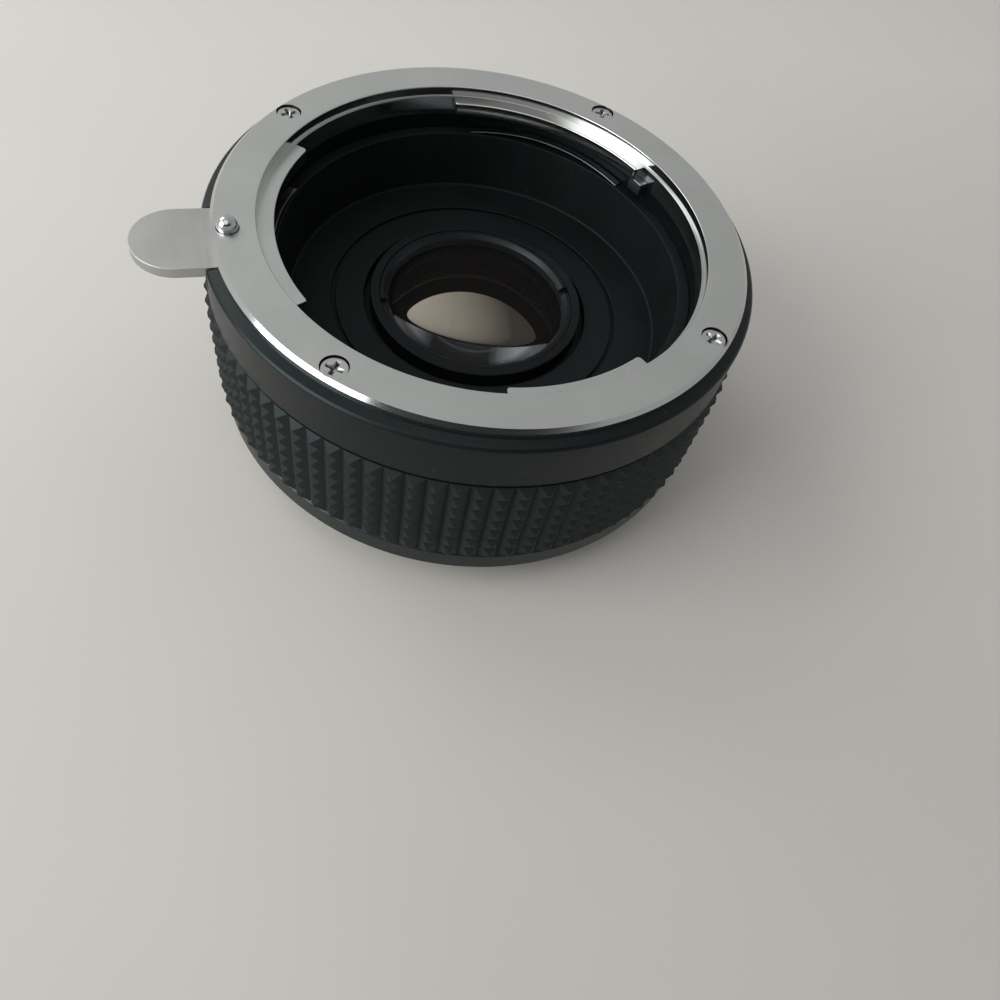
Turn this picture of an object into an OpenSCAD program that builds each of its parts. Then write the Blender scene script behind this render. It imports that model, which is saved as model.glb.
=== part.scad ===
// Camera teleconverter: a short black barrel around a four-element lens block,
// with a female bayonet for the lens on top and a male bayonet for the camera below.
// The origin is on the optical axis in the camera-side register face, +Z points to
// the lens and the release tab points along -X. All sizes are in millimetres.

/* [Register faces] */
// Distance between the camera-side and the lens-side register face
register_length = 25.3; // [23:0.1:36]

/* [Barrel] */
// Diameter of the smooth band
band_d = 62.4; // [61.6:0.1:70]
// Height of the smooth band's side
band_h = 6.1; // [5.4:0.1:6.6]
// Width of the shoulder around the bright flange
shoulder_w = 1.2; // [0.6:0.1:1.6]
// Fall of the shoulder from the flange to the edge of the band
shoulder_drop = 0.3; // [0.1:0.05:0.6]
// Chamfer on the edges of the band and of the rear cover
band_edge = 0.25; // [0.1:0.05:0.4]
// Depth of the dark groove under the band
groove_depth = 0.8; // [0.4:0.1:1.2]
// Height of the dark groove under the band
groove_h = 0.35; // [0.2:0.05:0.8]
// Depth of the seat that the grip ring slides onto
grip_seat = 1.8; // [1.4:0.1:2.2]
// Wall of the sleeve under the grip ring
sleeve_wall = 1.4; // [1:0.1:1.8]

/* [Grip ring] */
// Ridges around the grip
grip_columns = 86; // [60:1:110]
// Rows of teeth up the grip
grip_rows = 7; // [4:1:10]
// How far the teeth stand out past the band
knurl_rise = 0.55; // [0.2:0.05:1]
// Depth of the grooves between the ridges
knurl_depth = 0.8; // [0.4:0.05:1.2]
// Depth of the grooves around the grip as a share of those between the ridges
knurl_cross = 0.62; // [0.3:0.02:0.9]

/* [Lens-side bayonet] */
// Thickness of the bright flange
flange_t = 1.1; // [0.9:0.1:1.2]
// Chamfer on the edges of the bright flanges
flange_edge = 0.4; // [0.1:0.05:0.7]
// Diameter of the throat
throat_d = 50.6; // [49:0.1:51.6]
// Step from the throat to the wall between the lobes
gap_step = 0.35; // [0.2:0.05:0.6]
// Reach of the lobes in from the throat
lobe_reach = 1.8; // [1.2:0.1:2.4]
// Depth of the lobes below the register face
lobe_depth = 1.2; // [1.1:0.1:1.6]
// Thickness of the lobes
lobe_t = 1.5; // [1:0.1:1.8]
// Directions of the lobes' middles
lobe_at = [55.5, 173.5, -80.2]; // [-180:0.1:180]
// Angles that the lobes span
lobe_span = [63, 63, 37.6]; // [20:0.1:75]
// Depth of the flange's skirt below the register face
skirt_depth = 3.4; // [3:0.1:3.8]
// Wall of the skirt outside the throat
skirt_wall = 1; // [0.6:0.1:1.2]

/* [Mount screws] */
// Directions of the screws in both mounts
screw_at = [45, 135, -135, -45]; // [-180:1:180]
// Turns of the cross recesses
screw_turn = [28, 62, 10, 75]; // [0:1:90]
// Distance of the screws in from the edge of the lens-side flange
screw_inset = 1.8; // [1.6:0.1:2.2]
// Diameter of the screw heads
head_d = 2.75; // [2.2:0.05:3.1]
// Height of the screw heads
head_h = 0.85; // [0.6:0.05:0.9]
// Straight rim on the screw heads
head_rim = 0.2; // [0.1:0.05:0.3]
// Depth of the screw heads below the face
head_sink = 0.2; // [0.05:0.05:0.3]
// Diameter of the screw shanks
shank_d = 1.6; // [1.2:0.1:1.8]
// Length of the mount screws
screw_len = 4.4; // [3.6:0.1:5]
// Width of the cross recess
recess_w = 0.46; // [0.3:0.02:0.6]
// Length of the cross recess
recess_l = 1.8; // [1.2:0.1:2]
// Depth of the cross recess
recess_depth = 0.55; // [0.3:0.05:0.7]

/* [Lens lock] */
// Width of the release tab
tab_w = 9.2; // [7:0.1:11]
// Thickness of the release tab
tab_t = 1.2; // [0.8:0.1:1.4]
// How far the release tab stands out past the band
tab_reach = 6.9; // [5:0.1:9]
// Cover of the tab's inner end past the lock pin's middle
tab_tail = 1.3; // [1.2:0.05:1.5]
// Travel of the release tab
tab_travel = 1.6; // [1.3:0.1:1.7]
// Diameter of the lock pin
pin_d = 2.25; // [1.6:0.05:2.3]
// How far the lock pin stands out of the flange
pin_rise = 1.3; // [1:0.1:1.5]
// Diameter of the lock pin's tail in the spring
pin_tail_d = 1.1; // [0.8:0.05:1.2]
// Diameter of the spring's wire
lock_wire_d = 0.32; // [0.2:0.02:0.36]
// Turns of the spring
lock_turns = 5; // [3:1:5]
// Metal left under the lock spring
lock_seat_t = 0.7; // [0.5:0.1:1]

/* [Bayonet stop and leaf springs] */
// Angle that the stop block covers
stop_span = 5; // [4:0.5:7]
// Angle that the stop block stands out past its lobe
stop_lead = 3; // [2:0.5:4]
// Height of the stop block
stop_h = 1.6; // [1.5:0.1:2.1]
// Thickness of the stop block
stop_t = 1.1; // [0.8:0.1:1.2]
// Diameter of the pin on the stop block
stop_pin_d = 0.7; // [0.5:0.1:0.8]
// Length of the pin on the stop block
stop_pin_len = 2.2; // [1.5:0.1:3]
// Thickness of the leaf springs
leaf_t = 0.2; // [0.15:0.05:0.3]
// Rise of the leaf springs in the middle
leaf_bow = 0.7; // [0.4:0.05:0.8]
// Angle between the ends of a leaf spring and of its lobe
leaf_inset = 6; // [5:0.5:10]

/* [Lens well] */
// Depth of the well's rim below the lens-side register face
ledge_depth = 5.3; // [5:0.1:5.6]
// Depth of the well's floor below the lens-side register face
floor_depth = 12.5; // [11:0.1:13]
// Wall of the well at its rim
well_wall = 1.4; // [1:0.1:1.8]
// Taper of the well's wall from the rim to the floor
well_taper = 0.8; // [0:0.1:1]
// Thickness of the well's floor
floor_t = 1.5; // [1.2:0.1:2]
// Height of the well's rim above its own flange
collar_rise = 2; // [1.8:0.1:2.2]
// Thickness of the well's flange
well_flange_t = 1.4; // [1:0.1:2]
// Diameter of the fine groove in the floor
line_d = 35; // [33:0.5:38]
// Width of the fine groove in the floor
line_w = 0.5; // [0.3:0.05:0.8]
// Depth of the fine groove in the floor
line_depth = 0.4; // [0.2:0.05:0.6]
// Width of the moat around the lens tube
moat_w = 0.75; // [0.4:0.05:1.2]
// Depth of the moat around the lens tube
moat_depth = 1.1; // [0.6:0.1:1.2]
// Wall of the neck that holds the lens tube
neck_wall = 1.9; // [1.6:0.1:2.4]
// Length of the neck below the floor
neck_h = 3.5; // [3.3:0.1:4]
// Screws that hold the well
well_screw_at = [0, 90, -90]; // [-180:1:180]
// Length of the well screws under their heads
well_screw_len = 4.4; // [3.5:0.1:4.8]
// Diameter of the well screws' heads
well_head_d = 2.7; // [2.2:0.1:2.9]
// Height of the well screws' heads
well_head_h = 0.9; // [0.7:0.1:1.2]

/* [Lens block] */
// Outer diameter of the lens tube
tube_d = 26.1; // [25.6:0.1:27]
// Wall of the lens tube
tube_wall = 1.1; // [0.8:0.1:1.2]
// Height of the lens tube's front above the floor
tube_rise = 1; // [0.6:0.1:1.6]
// Depth of the lens tube's rear end below the camera-side register face
tube_drop = 1.5; // [1:0.1:2]
// Height of the front retaining ring
retainer_h = 1.5; // [1.2:0.1:1.8]
// Depth of the front retaining ring below the lens tube's front
retainer_sink = 0.1; // [0:0.05:0.3]
// Radial width of the front retaining ring
retainer_w = 1; // [0.4:0.05:1.4]
// Width of the spanner slots in the retaining rings
spanner_w = 1; // [0.6:0.1:1.4]
// Depth of the spanner slots in the retaining rings
spanner_depth = 0.5; // [0.3:0.1:0.7]
// Front radius of the front element
front_radius = 90; // [45:1:150]
// Rear radius of the front element, which bulges into its spacer
front_back_radius = 30; // [27:0.5:400]
// Rim thickness of the front element
front_rim = 1.8; // [1.4:0.1:2.2]
// Least air between the front and the negative element
front_spacer_h = 1; // [0.6:0.1:1.6]
// Front radius of the negative element
neg_front_radius = 33; // [30:1:90]
// Radius that the negative and the positive element share
shared_radius = 28; // [26:0.5:34]
// Thickness of the negative element in the middle
neg_middle = 1.1; // [0.8:0.1:1.4]
// Rear radius of the positive element
pos_back_radius = 34; // [32:0.5:60]
// Radial width of the negative element's seat on the spacer
element_seat = 1; // [0.7:0.1:1.2]
// Edge thickness of the positive element
pos_edge = 0.4; // [0.3:0.05:0.5]
// Radial width of the spacers
spacer_w = 1.7; // [1.4:0.1:2]
// Thickness of the tube's inner lip
lip_t = 0.7; // [0.5:0.1:1]
// Reach of the tube's inner lip into the bore
lip_reach = 2.15; // [1.9:0.05:2.4]
// Wall of the tube around the rear element
rear_wall = 2.1; // [1.8:0.1:2.3]
// Height of the rear retaining ring
rear_retainer_h = 0.8; // [0.6:0.1:1]
// Radial width of the rear retaining ring
rear_retainer_w = 1.3; // [1:0.1:1.6]
// Depth of the rear retaining ring above the tube's rear end
rear_retainer_sink = 0.2; // [0.1:0.05:0.4]
// Front radius of the rear element
rear_radius = 32; // [28:1:60]
// Rim thickness of the rear element
rear_rim = 2.4; // [2.2:0.1:2.6]
// Height of the ring that locks the lens tube
lock_ring_h = 1.2; // [0.8:0.1:1.6]

/* [Aperture coupling] */
// Travel of the aperture ring in degrees
aperture_travel = 25; // [15:1:30]
// Direction of the aperture arms at rest
arm_at = -115; // [-130:1:-110]
// Angle that the aperture arms cover
arm_span = 8; // [5:0.5:10]
// Thickness of the aperture ring and of its arms
arm_t = 1; // [0.8:0.05:1.1]
// Radial width of the aperture ring
ring_w = 4.5; // [4.2:0.1:4.8]
// Distance of the front arm's face past the aperture ring
arm_out = 1; // [0.9:0.05:1.1]
// Height of the front arm above the floor
arm_rise = 5; // [3:0.1:7]
// Distance of the rear arm's tip above the end of the spigot
arm_short = 1; // [0.6:0.1:2]
// Thickness of the foot of the rear arm
foot_t = 0.7; // [0.5:0.05:0.8]
// Diameter of the rivets in the foot
rivet_d = 0.8; // [0.6:0.05:1]
// Height of the rivets' heads
rivet_head_h = 0.3; // [0.2:0.05:0.4]
// Thickness of the spring clip under the aperture ring
clip_t = 0.6; // [0.4:0.05:0.7]
// Depth of the clip's groove in the neck
clip_groove = 0.6; // [0.4:0.05:0.7]
// Reach of the clip past the neck
clip_reach = 1.2; // [0.8:0.1:1.3]
// Opening of the clip in degrees
clip_gap = 40; // [20:5:80]
// Angle from the aperture arms to the spring stud
stud_from_arm = 175; // [160:1:190]
// Angle between the spring's two ends at rest
spring_angle = 50; // [45:1:60]
// Diameter of the studs that hold the return spring
stud_d = 1.2; // [0.9:0.05:1.3]
// Height of the studs' feet
stud_foot_h = 0.5; // [0.4:0.05:0.8]
// Diameter of the return spring's coil
coil_d = 2; // [1.6:0.1:2.2]
// Diameter of the return spring's wire
coil_wire_d = 0.34; // [0.24:0.02:0.4]
// Turns of the return spring
coil_turns = 15; // [10:1:16]

/* [Camera-side mount] */
// Height of the bright rear flange below the black cover
rear_proud = 0.8; // [0.4:0.1:1]
// Thickness of the rear flange
rear_flange_t = 1.4; // [1.2:0.1:1.8]
// Distance of the rear flange's edge in from the sleeve
rear_inset = 0.4; // [0.2:0.1:0.8]
// Play between the spigot and the lobes of the same bayonet
bayonet_play = 0.2; // [0.1:0.05:0.3]
// Wall of the spigot
spigot_wall = 1.8; // [1.2:0.1:2]
// Thickness of the lugs
lug_t = 1.5; // [1:0.1:1.6]
// Length of the spigot past the lugs
spigot_tip = 0.75; // [0.5:0.05:1.2]
// Angle that the lugs stay short of the lobes and of the gaps
lug_slack = 4; // [3:0.5:6]
// Width of the notch for the camera's lock pin
notch_w = 2.5; // [2.3:0.1:3]

/* [Rear cover and baffle] */
// Height of the smooth rear rim
rim_h = 2.9; // [2.4:0.1:3.4]
// Thickness of the rear cover under the sleeve
cover_t = 1.8; // [1.4:0.1:2.2]
// Length of the cover's plug in the sleeve
plug_h = 2.8; // [2.6:0.1:3.6]
// Wall of the cover's plug
plug_wall = 3.7; // [3.4:0.1:4]
// Thickness of the rear baffle
baffle_t = 0.8; // [0.6:0.1:1]
// Lap of the rear baffle over the rear mount
baffle_lap = 1.6; // [1.2:0.1:2]
// Width of the ledge that holds the rear baffle
baffle_ledge = 0.9; // [0.6:0.1:1]
// Fine grooves in the rear baffle
baffle_grooves = 3; // [1:1:4]
// Width of the fine grooves in the rear baffle
baffle_groove_w = 0.4; // [0.3:0.05:0.5]
// Depth of the fine grooves in the rear baffle
baffle_groove_depth = 0.3; // [0.2:0.05:0.4]
// Pitch of the fine grooves in the rear baffle
baffle_groove_pitch = 1.1; // [0.8:0.1:1.2]

/* [Index bead] */
// Direction of the index bead
bead_at = 90; // [70:1:110]
// Diameter of the index bead
bead_d = 1.8; // [1.2:0.1:2.4]
// Depth of the index bead in the band
bead_depth = 0.8; // [0.5:0.1:1]
// How far the index bead stands out of the band
bead_rise = 0.2; // [0.1:0.05:0.4]

/* [Clearances] */
// Clearance between fixed pieces that fit into each other
fit_gap = 0.05; // [0.03:0.01:0.08]
// Clearance of the running fits
run_gap = 0.05; // [0.03:0.01:0.08]
// Clearance around the sides of moving pieces that need no fit
side_gap = 0.2; // [0.15:0.05:0.3]
// Clearance between the release tab and the flange
tab_gap = 0.05; // [0.04:0.01:0.1]
// Room for the rear ring nut, the arms' slots and the baffle around the lens tube
slot_gap = 0.35; // [0.3:0.05:0.5]

/* [Hidden] */
$fn = 128;
lens_fn = 360;
// Overlap that makes a cut pass clean through a face
cut = 0.5;
// Directions of the lock and of the tab
lock_at = 180;
black = [0.10, 0.10, 0.11];
deep_black = [0.06, 0.06, 0.065];
chrome = [0.78, 0.79, 0.80];
steel = [0.62, 0.63, 0.64];
brass = [0.72, 0.58, 0.30];
glass = [0.70, 0.82, 0.86, 0.45];

// Radii of the barrel
band_r = band_d / 2;
flange_r = band_r - shoulder_w;
groove_r = band_r - groove_depth;
sleeve_r = band_r - grip_seat;
cavity_r = sleeve_r - sleeve_wall;
knurl_peak_r = band_r + knurl_rise;
knurl_valley_r = knurl_peak_r - knurl_depth;

// Radii of the lens-side bayonet
throat_r = throat_d / 2;
gap_r = throat_r - gap_step;
lobe_r = throat_r - lobe_reach;
skirt_r = throat_r + skirt_wall;
screw_r = flange_r - screw_inset;
lobe_count = len(lobe_at);
lobe_from = [for (i = [0:lobe_count - 1]) lobe_at[i] - lobe_span[i] / 2];
lobe_to = [for (i = [0:lobe_count - 1]) lobe_at[i] + lobe_span[i] / 2];

// Heights from the lens-side register face down
z_lens = register_length;
z_seat = z_lens - flange_t;
z_lobe_top = z_lens - lobe_depth;
z_lobe_low = z_lobe_top - lobe_t;
z_skirt = z_lens - skirt_depth;
z_band_top = z_seat - shoulder_drop;
z_band_low = z_band_top - band_h;
z_grip_top = z_band_low - groove_h;
z_ledge = z_lens - ledge_depth;
z_shelf = z_ledge - collar_rise;
z_well_flange = z_shelf - well_flange_t;
z_floor = z_lens - floor_depth;
z_under_floor = z_floor - floor_t;
z_neck = z_under_floor - neck_h;

// Heights from the camera-side register face up
z_cover_top = rear_proud + cover_t;
z_rim = rear_proud + rim_h;
z_plug = z_cover_top + plug_h;
z_baffle_top = rear_flange_t + baffle_t;
z_grip_low = z_rim;
grip_h = z_grip_top - z_grip_low;
row_pitch = grip_h / grip_rows;

// Lens lock
tab_tip_r = band_r + tab_reach;
tab_end_r = tab_w / 2;
z_tab_top = z_seat - tab_gap;
z_tab_low = z_tab_top - tab_t;
z_pocket = z_tab_low - tab_travel - side_gap;
z_lock_seat = z_shelf + lock_seat_t;
lock_len = z_tab_low - z_lock_seat;
lock_hole_r = tab_tail + side_gap;
lock_coil_r = lock_hole_r - side_gap / 2 - lock_wire_d / 2;
z_pin_tail = z_lock_seat + tab_travel + side_gap;

// Bayonet stop, with its pin just under the skirt
stop_from = lobe_from[0] - stop_lead;
z_stop_pin = z_skirt - 2 * fit_gap - stop_pin_d / 2;

// Lens well
well_r = gap_r - fit_gap - well_wall;
well_low_r = well_r - well_taper;
well_out_r = gap_r - fit_gap;
well_flange_r = cavity_r - fit_gap;
well_screw_r = (well_out_r + well_flange_r) / 2;
tube_r = tube_d / 2;
neck_bore_r = tube_r + fit_gap;
neck_r = neck_bore_r + neck_wall;
moat_r = tube_r + moat_w;
line_r = line_d / 2;

// Lens block, stacked from the front down
z_tube_front = z_floor + tube_rise;
z_tube_rear = -tube_drop;
bore_r = tube_r - tube_wall;
lens_r = bore_r - fit_gap;
z_retainer_top = z_tube_front - retainer_sink;
z_front_rim = z_retainer_top - retainer_h;
retainer_r = lens_r - retainer_w;
z_front_back = z_front_rim - front_rim;
spacer_r = lens_r - spacer_w;
front_back_sag = sag(front_back_radius, spacer_r - fit_gap);
neg_front_sag = sag(neg_front_radius, spacer_r);
z_neg_rim = z_front_back - front_spacer_h - max(0, front_back_sag - neg_front_sag);
pos_r = lens_r - element_seat;
shared_sag = sag(shared_radius, pos_r + fit_gap);
z_shared_top = z_neg_rim - neg_front_sag - neg_middle;
z_neg_back = z_shared_top - shared_sag;
z_pos_edge = z_neg_back - pos_edge;
pos_back_sag = sag(pos_back_radius, pos_r);
z_lip_low = z_tube_rear + rear_retainer_sink + rear_retainer_h + rear_rim;
z_lip_top = z_lip_low + lip_t;
lip_r = bore_r - lip_reach;
rear_bore_r = tube_r - rear_wall;
rear_r = rear_bore_r - fit_gap;
z_rear_back = z_lip_low - rear_rim;

// Aperture coupling
ring_bore_r = neck_r + run_gap;
ring_r = ring_bore_r + ring_w;
z_ring_top = z_under_floor - side_gap;
z_ring_low = z_ring_top - arm_t;
arm_in_r = ring_r + arm_out;
arm_out_r = arm_in_r + arm_t;
z_arm_top = z_floor + arm_rise;
z_foot = z_ring_low - foot_t;
rear_arm_r = ring_r - arm_t / 2;
rivet_r = (ring_bore_r + clip_reach + ring_r) / 2;
z_clip_top = z_ring_low - side_gap;
z_clip_low = z_clip_top - clip_t;
clip_in_r = neck_r - clip_groove;
stud_at = arm_at + stud_from_arm;
post_at = stud_at - spring_angle;
stud_r = ring_r - stud_d;
post_r = ring_r + stud_d;
z_spring = z_ring_low - side_gap - coil_d / 2;
z_stud_foot = z_spring - coil_wire_d / 2 - side_gap;
z_studs = z_stud_foot - stud_foot_h;
loop_r = stud_d / 2 + fit_gap + coil_wire_d / 2;
coil_mid_r = (coil_d - coil_wire_d) / 2;
// Radius of a foot or a rivet head as a share of its shank's diameter
stud_foot_share = 0.75;

// Camera-side mount
rear_flange_r = sleeve_r - rear_inset;
spigot_r = lobe_r - bayonet_play;
spigot_bore_r = spigot_r - spigot_wall;
lug_r = gap_r - bayonet_play;
z_lug_top = -(lobe_depth + lobe_t + fit_gap);
z_lug_low = z_lug_top - lug_t;
z_spigot = z_lug_low - spigot_tip;
plug_r = cavity_r - fit_gap;
plug_in_r = plug_r - plug_wall;
rear_screw_r = (plug_in_r + plug_r) / 2;

// Rear cover and baffle
baffle_r = spigot_bore_r + baffle_lap;
baffle_seat_r = baffle_r + fit_gap;
baffle_in_r = tube_r + slot_gap;
rear_arm_in_r = rear_arm_r - arm_t;

// Depth of a spherical face between its middle and radius r
function sag(radius, r) = radius - sqrt(radius * radius - r * r);

// Point at direction az, radius r and height z
function polar(az, r, z) = [r * cos(az), r * sin(az), z];

// Angle that a length covers at radius r
function angle_of(length, r) = 2 * asin(length / (2 * r));

function unit(v) = v / norm(v);

function tangent(path, i) = unit(path[min(i + 1, len(path) - 1)] - path[max(i - 1, 0)]);

// Directions square to a path, each carried on from the one before it
function normals(path, before, i = 0) = i == len(path) ? [] :
    let (t = tangent(path, i), n = unit(before - (before * t) * t))
    concat([n], normals(path, n, i + 1));

// Smallest distance between the rings of a coiled path that lie at least half a turn apart
function least_gap(path, half_turn, wire) =
    min([for (i = [0:len(path) - 1], j = [i + half_turn:len(path) - 1]) norm(path[i] - path[j])]) - wire;

module at(az, r) {
    rotate([0, 0, az])
        translate([r, 0, 0])
            children();
}

module tube(r_out, r_in, z_low, z_high) {
    rotate_extrude()
        translate([r_in, z_low])
            square([r_out - r_in, z_high - z_low]);
}

module arc_block(r_in, r_out, from, to, z_low, z_high) {
    rotate([0, 0, from])
        rotate_extrude(angle = to - from)
            translate([r_in, z_low])
                square([r_out - r_in, z_high - z_low]);
}

module lens_sphere(z, radius) {
    translate([0, 0, z])
        sphere(r = radius, $fn = lens_fn);
}

module disc(r, z_low, z_high) {
    translate([0, 0, z_low])
        cylinder(r = r, h = z_high - z_low);
}

// Wire of round section along a path
module wire(path, d, sides = 6) {
    ring = normals(path, [0, 0.3, 1]);
    last = len(path) - 1;
    points = [for (i = [0:last], k = [0:sides - 1])
        let (t = tangent(path, i), a = 360 * k / sides)
        path[i] + d / 2 * (cos(a) * ring[i] + sin(a) * cross(t, ring[i]))];
    walls = [for (i = [0:last - 1], k = [0:sides - 1])
        let (a = i * sides + k, b = i * sides + (k + 1) % sides)
        each [[a, a + sides, b], [b, a + sides, b + sides]]];
    start = [[for (k = [0:sides - 1]) k]];
    finish = [[for (k = [sides - 1:-1:0]) last * sides + k]];
    polyhedron(points, concat(start, walls, finish));
}

// Countersunk screw with its face at z = 0 and its shank along -Z
module mount_screw() {
    difference() {
        union() {
            translate([0, 0, -head_sink - head_rim])
                cylinder(d = head_d, h = head_rim);
            translate([0, 0, -head_sink - head_h])
                cylinder(d1 = shank_d, d2 = head_d, h = head_h - head_rim);
            translate([0, 0, -screw_len])
                cylinder(d = shank_d, h = screw_len - head_sink - head_rim);
        }
        for (side = [0, 90])
            rotate([0, 0, side])
                translate([-recess_l / 2, -recess_w / 2, -head_sink - recess_depth])
                    cube([recess_l, recess_w, recess_depth + cut]);
    }
}

// Countersunk hole for a mount screw
module mount_screw_hole() {
    hole_d = shank_d + 2 * fit_gap;
    sink_d = head_d + 2 * fit_gap;
    translate([0, 0, -screw_len - fit_gap])
        cylinder(d = hole_d, h = screw_len);
    translate([0, 0, -head_sink - head_h - fit_gap])
        cylinder(d1 = hole_d, d2 = sink_d, h = head_h - head_rim);
    translate([0, 0, -head_sink - head_rim - fit_gap])
        cylinder(d = sink_d, h = head_sink + head_rim + fit_gap + cut);
}

module at_front_screws() {
    for (i = [0:len(screw_at) - 1])
        at(screw_at[i], screw_r)
            translate([0, 0, z_lens])
                rotate([0, 0, screw_turn[i]])
                    children();
}

module at_rear_screws() {
    for (i = [0:len(screw_at) - 1])
        at(screw_at[i], rear_screw_r)
            rotate([180, 0, screw_turn[i]])
                children();
}

module front_mount() {
    color(chrome)
    difference() {
        union() {
            rotate_extrude()
                polygon([[throat_r, z_lens], [flange_r - flange_edge, z_lens],
                    [flange_r, z_lens - flange_edge],
                    [flange_r, z_seat], [skirt_r, z_seat], [skirt_r, z_skirt], [gap_r, z_skirt],
                    [gap_r, z_lobe_top], [throat_r, z_lobe_top]]);
            for (i = [0:lobe_count - 1])
                arc_block(lobe_r, (gap_r + skirt_r) / 2, lobe_from[i], lobe_to[i], z_lobe_low, z_lobe_top);
        }
        at_front_screws()
            mount_screw_hole();
        at(lock_at, screw_r)
            disc(pin_d / 2 + run_gap, z_seat - cut, z_lens + cut);
    }
}

module front_mount_screws() {
    color(chrome)
    at_front_screws()
        mount_screw();
}

module lock_pin() {
    color(chrome)
    at(lock_at, screw_r) {
        dome_r = pin_d / 2;
        intersection() {
            disc(dome_r, z_tab_low, z_lens + pin_rise);
            translate([0, 0, z_lens + pin_rise - dome_r])
                union() {
                    sphere(r = dome_r);
                    disc(dome_r, -z_lens, 0);
                }
        }
        disc(pin_tail_d / 2, z_pin_tail, z_tab_low);
    }
}

module release_lever() {
    color(steel)
    difference() {
        at(lock_at, 0)
            translate([0, 0, z_tab_low])
                linear_extrude(tab_t) {
                    translate([tab_tip_r - tab_end_r, 0])
                        circle(r = tab_end_r);
                    translate([screw_r - tab_tail, -tab_end_r])
                        square([tab_tip_r - tab_end_r - screw_r + tab_tail, tab_w]);
                }
        at(lock_at, screw_r)
            disc(pin_d / 2 + fit_gap, z_tab_low - cut, z_tab_top + cut);
    }
}

lock_steps = 12;
lock_pitch = (lock_len - lock_wire_d - 2 * fit_gap) / lock_turns;
lock_path = [for (i = [0:lock_turns * lock_steps])
    polar(i * 360 / lock_steps, lock_coil_r, lock_pitch * i / lock_steps)];

module lock_spring() {
    echo("least gap of the lock spring", least_gap(lock_path, lock_steps / 2, lock_wire_d));
    color(steel)
    at(lock_at, screw_r)
        translate([0, 0, z_lock_seat + lock_wire_d / 2 + fit_gap])
            wire(lock_path, lock_wire_d);
}

module bayonet_stop() {
    stop_r = gap_r - fit_gap;
    color(steel) {
        arc_block(stop_r - stop_t, stop_r, stop_from, stop_from + stop_span, z_lobe_low - stop_h,
            z_lobe_low);
        at(stop_from + stop_span / 2, stop_r - stop_t / 2)
            translate([0, 0, z_stop_pin])
                rotate([0, 90, 0])
                    cylinder(d = stop_pin_d, h = stop_t / 2 + stop_pin_len);
    }
}

// Leaf spring bowed up from the rim of the well under a lobe
module leaf(i) {
    steps = 14;
    from = lobe_from[i] + leaf_inset;
    to = lobe_to[i] - leaf_inset;
    r_in = well_r + side_gap;
    r_out = well_out_r - side_gap;
    points = [for (k = [0:steps])
        let (az = from + (to - from) * k / steps, z = z_ledge + leaf_bow * sin(180 * k / steps))
        each [polar(az, r_in, z), polar(az, r_out, z), polar(az, r_out, z + leaf_t), polar(az, r_in,
            z + leaf_t)]];
    walls = [for (k = [0:steps - 1], s = [0:3])
        let (a = 4 * k + s, b = 4 * k + (s + 1) % 4)
        each [[a, b, a + 4], [b, b + 4, a + 4]]];
    last = 4 * steps;
    ends = [[0, 3, 2], [0, 2, 1], [last, last + 1, last + 2], [last, last + 2, last + 3]];
    polyhedron(points, concat(walls, ends));
}

module bayonet_spring_1() { color(steel) leaf(0); }
module bayonet_spring_2() { color(steel) leaf(1); }
module bayonet_spring_3() { color(steel) leaf(2); }

module main_barrel() {
    bore = skirt_r + fit_gap;
    z_bore = z_skirt - fit_gap;
    color(black)
    difference() {
        rotate_extrude()
            polygon([[bore, z_seat], [flange_r, z_seat], [band_r - band_edge, z_band_top],
                [band_r, z_band_top - band_edge], [band_r, z_band_low + band_edge],
                [band_r - band_edge, z_band_low],
                [groove_r, z_band_low], [groove_r, z_grip_top], [sleeve_r, z_grip_top],
                [sleeve_r, z_cover_top],
                [cavity_r, z_cover_top], [cavity_r, z_shelf], [gap_r, z_shelf], [gap_r, z_bore],
                [bore, z_bore]]);
        at_front_screws()
            mount_screw_hole();
        at(lock_at, screw_r - tab_tail - side_gap)
            translate([0, -tab_w / 2 - side_gap, z_pocket])
                cube([tab_tip_r, tab_w + 2 * side_gap, z_seat - z_pocket + cut]);
        at(lock_at, screw_r)
            disc(lock_hole_r, z_lock_seat, z_pocket + cut);
        for (az = well_screw_at)
            at(az, well_screw_r)
                disc(shank_d / 2 + fit_gap, z_shelf - cut, z_well_flange + well_screw_len + fit_gap);
        at(stop_from + stop_span / 2, gap_r - cut)
            translate([0, 0, z_stop_pin])
                rotate([0, 90, 0])
                    cylinder(d = stop_pin_d + 2 * fit_gap, h = stop_pin_len + cut + fit_gap);
        at(bead_at, band_r - bead_depth)
            translate([0, 0, (z_band_top + z_band_low) / 2])
                rotate([0, 90, 0])
                    cylinder(d = bead_d + 2 * fit_gap, h = bead_depth + cut);
    }
}

module index_bead() {
    dome = bead_d;
    color("firebrick")
    at(bead_at, 0)
        translate([0, 0, (z_band_top + z_band_low) / 2])
            rotate([0, 90, 0])
                intersection() {
                    disc(bead_d / 2, band_r - bead_depth, band_r + bead_rise);
                    translate([0, 0, band_r + bead_rise - dome])
                        sphere(r = dome);
                }
}

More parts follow.
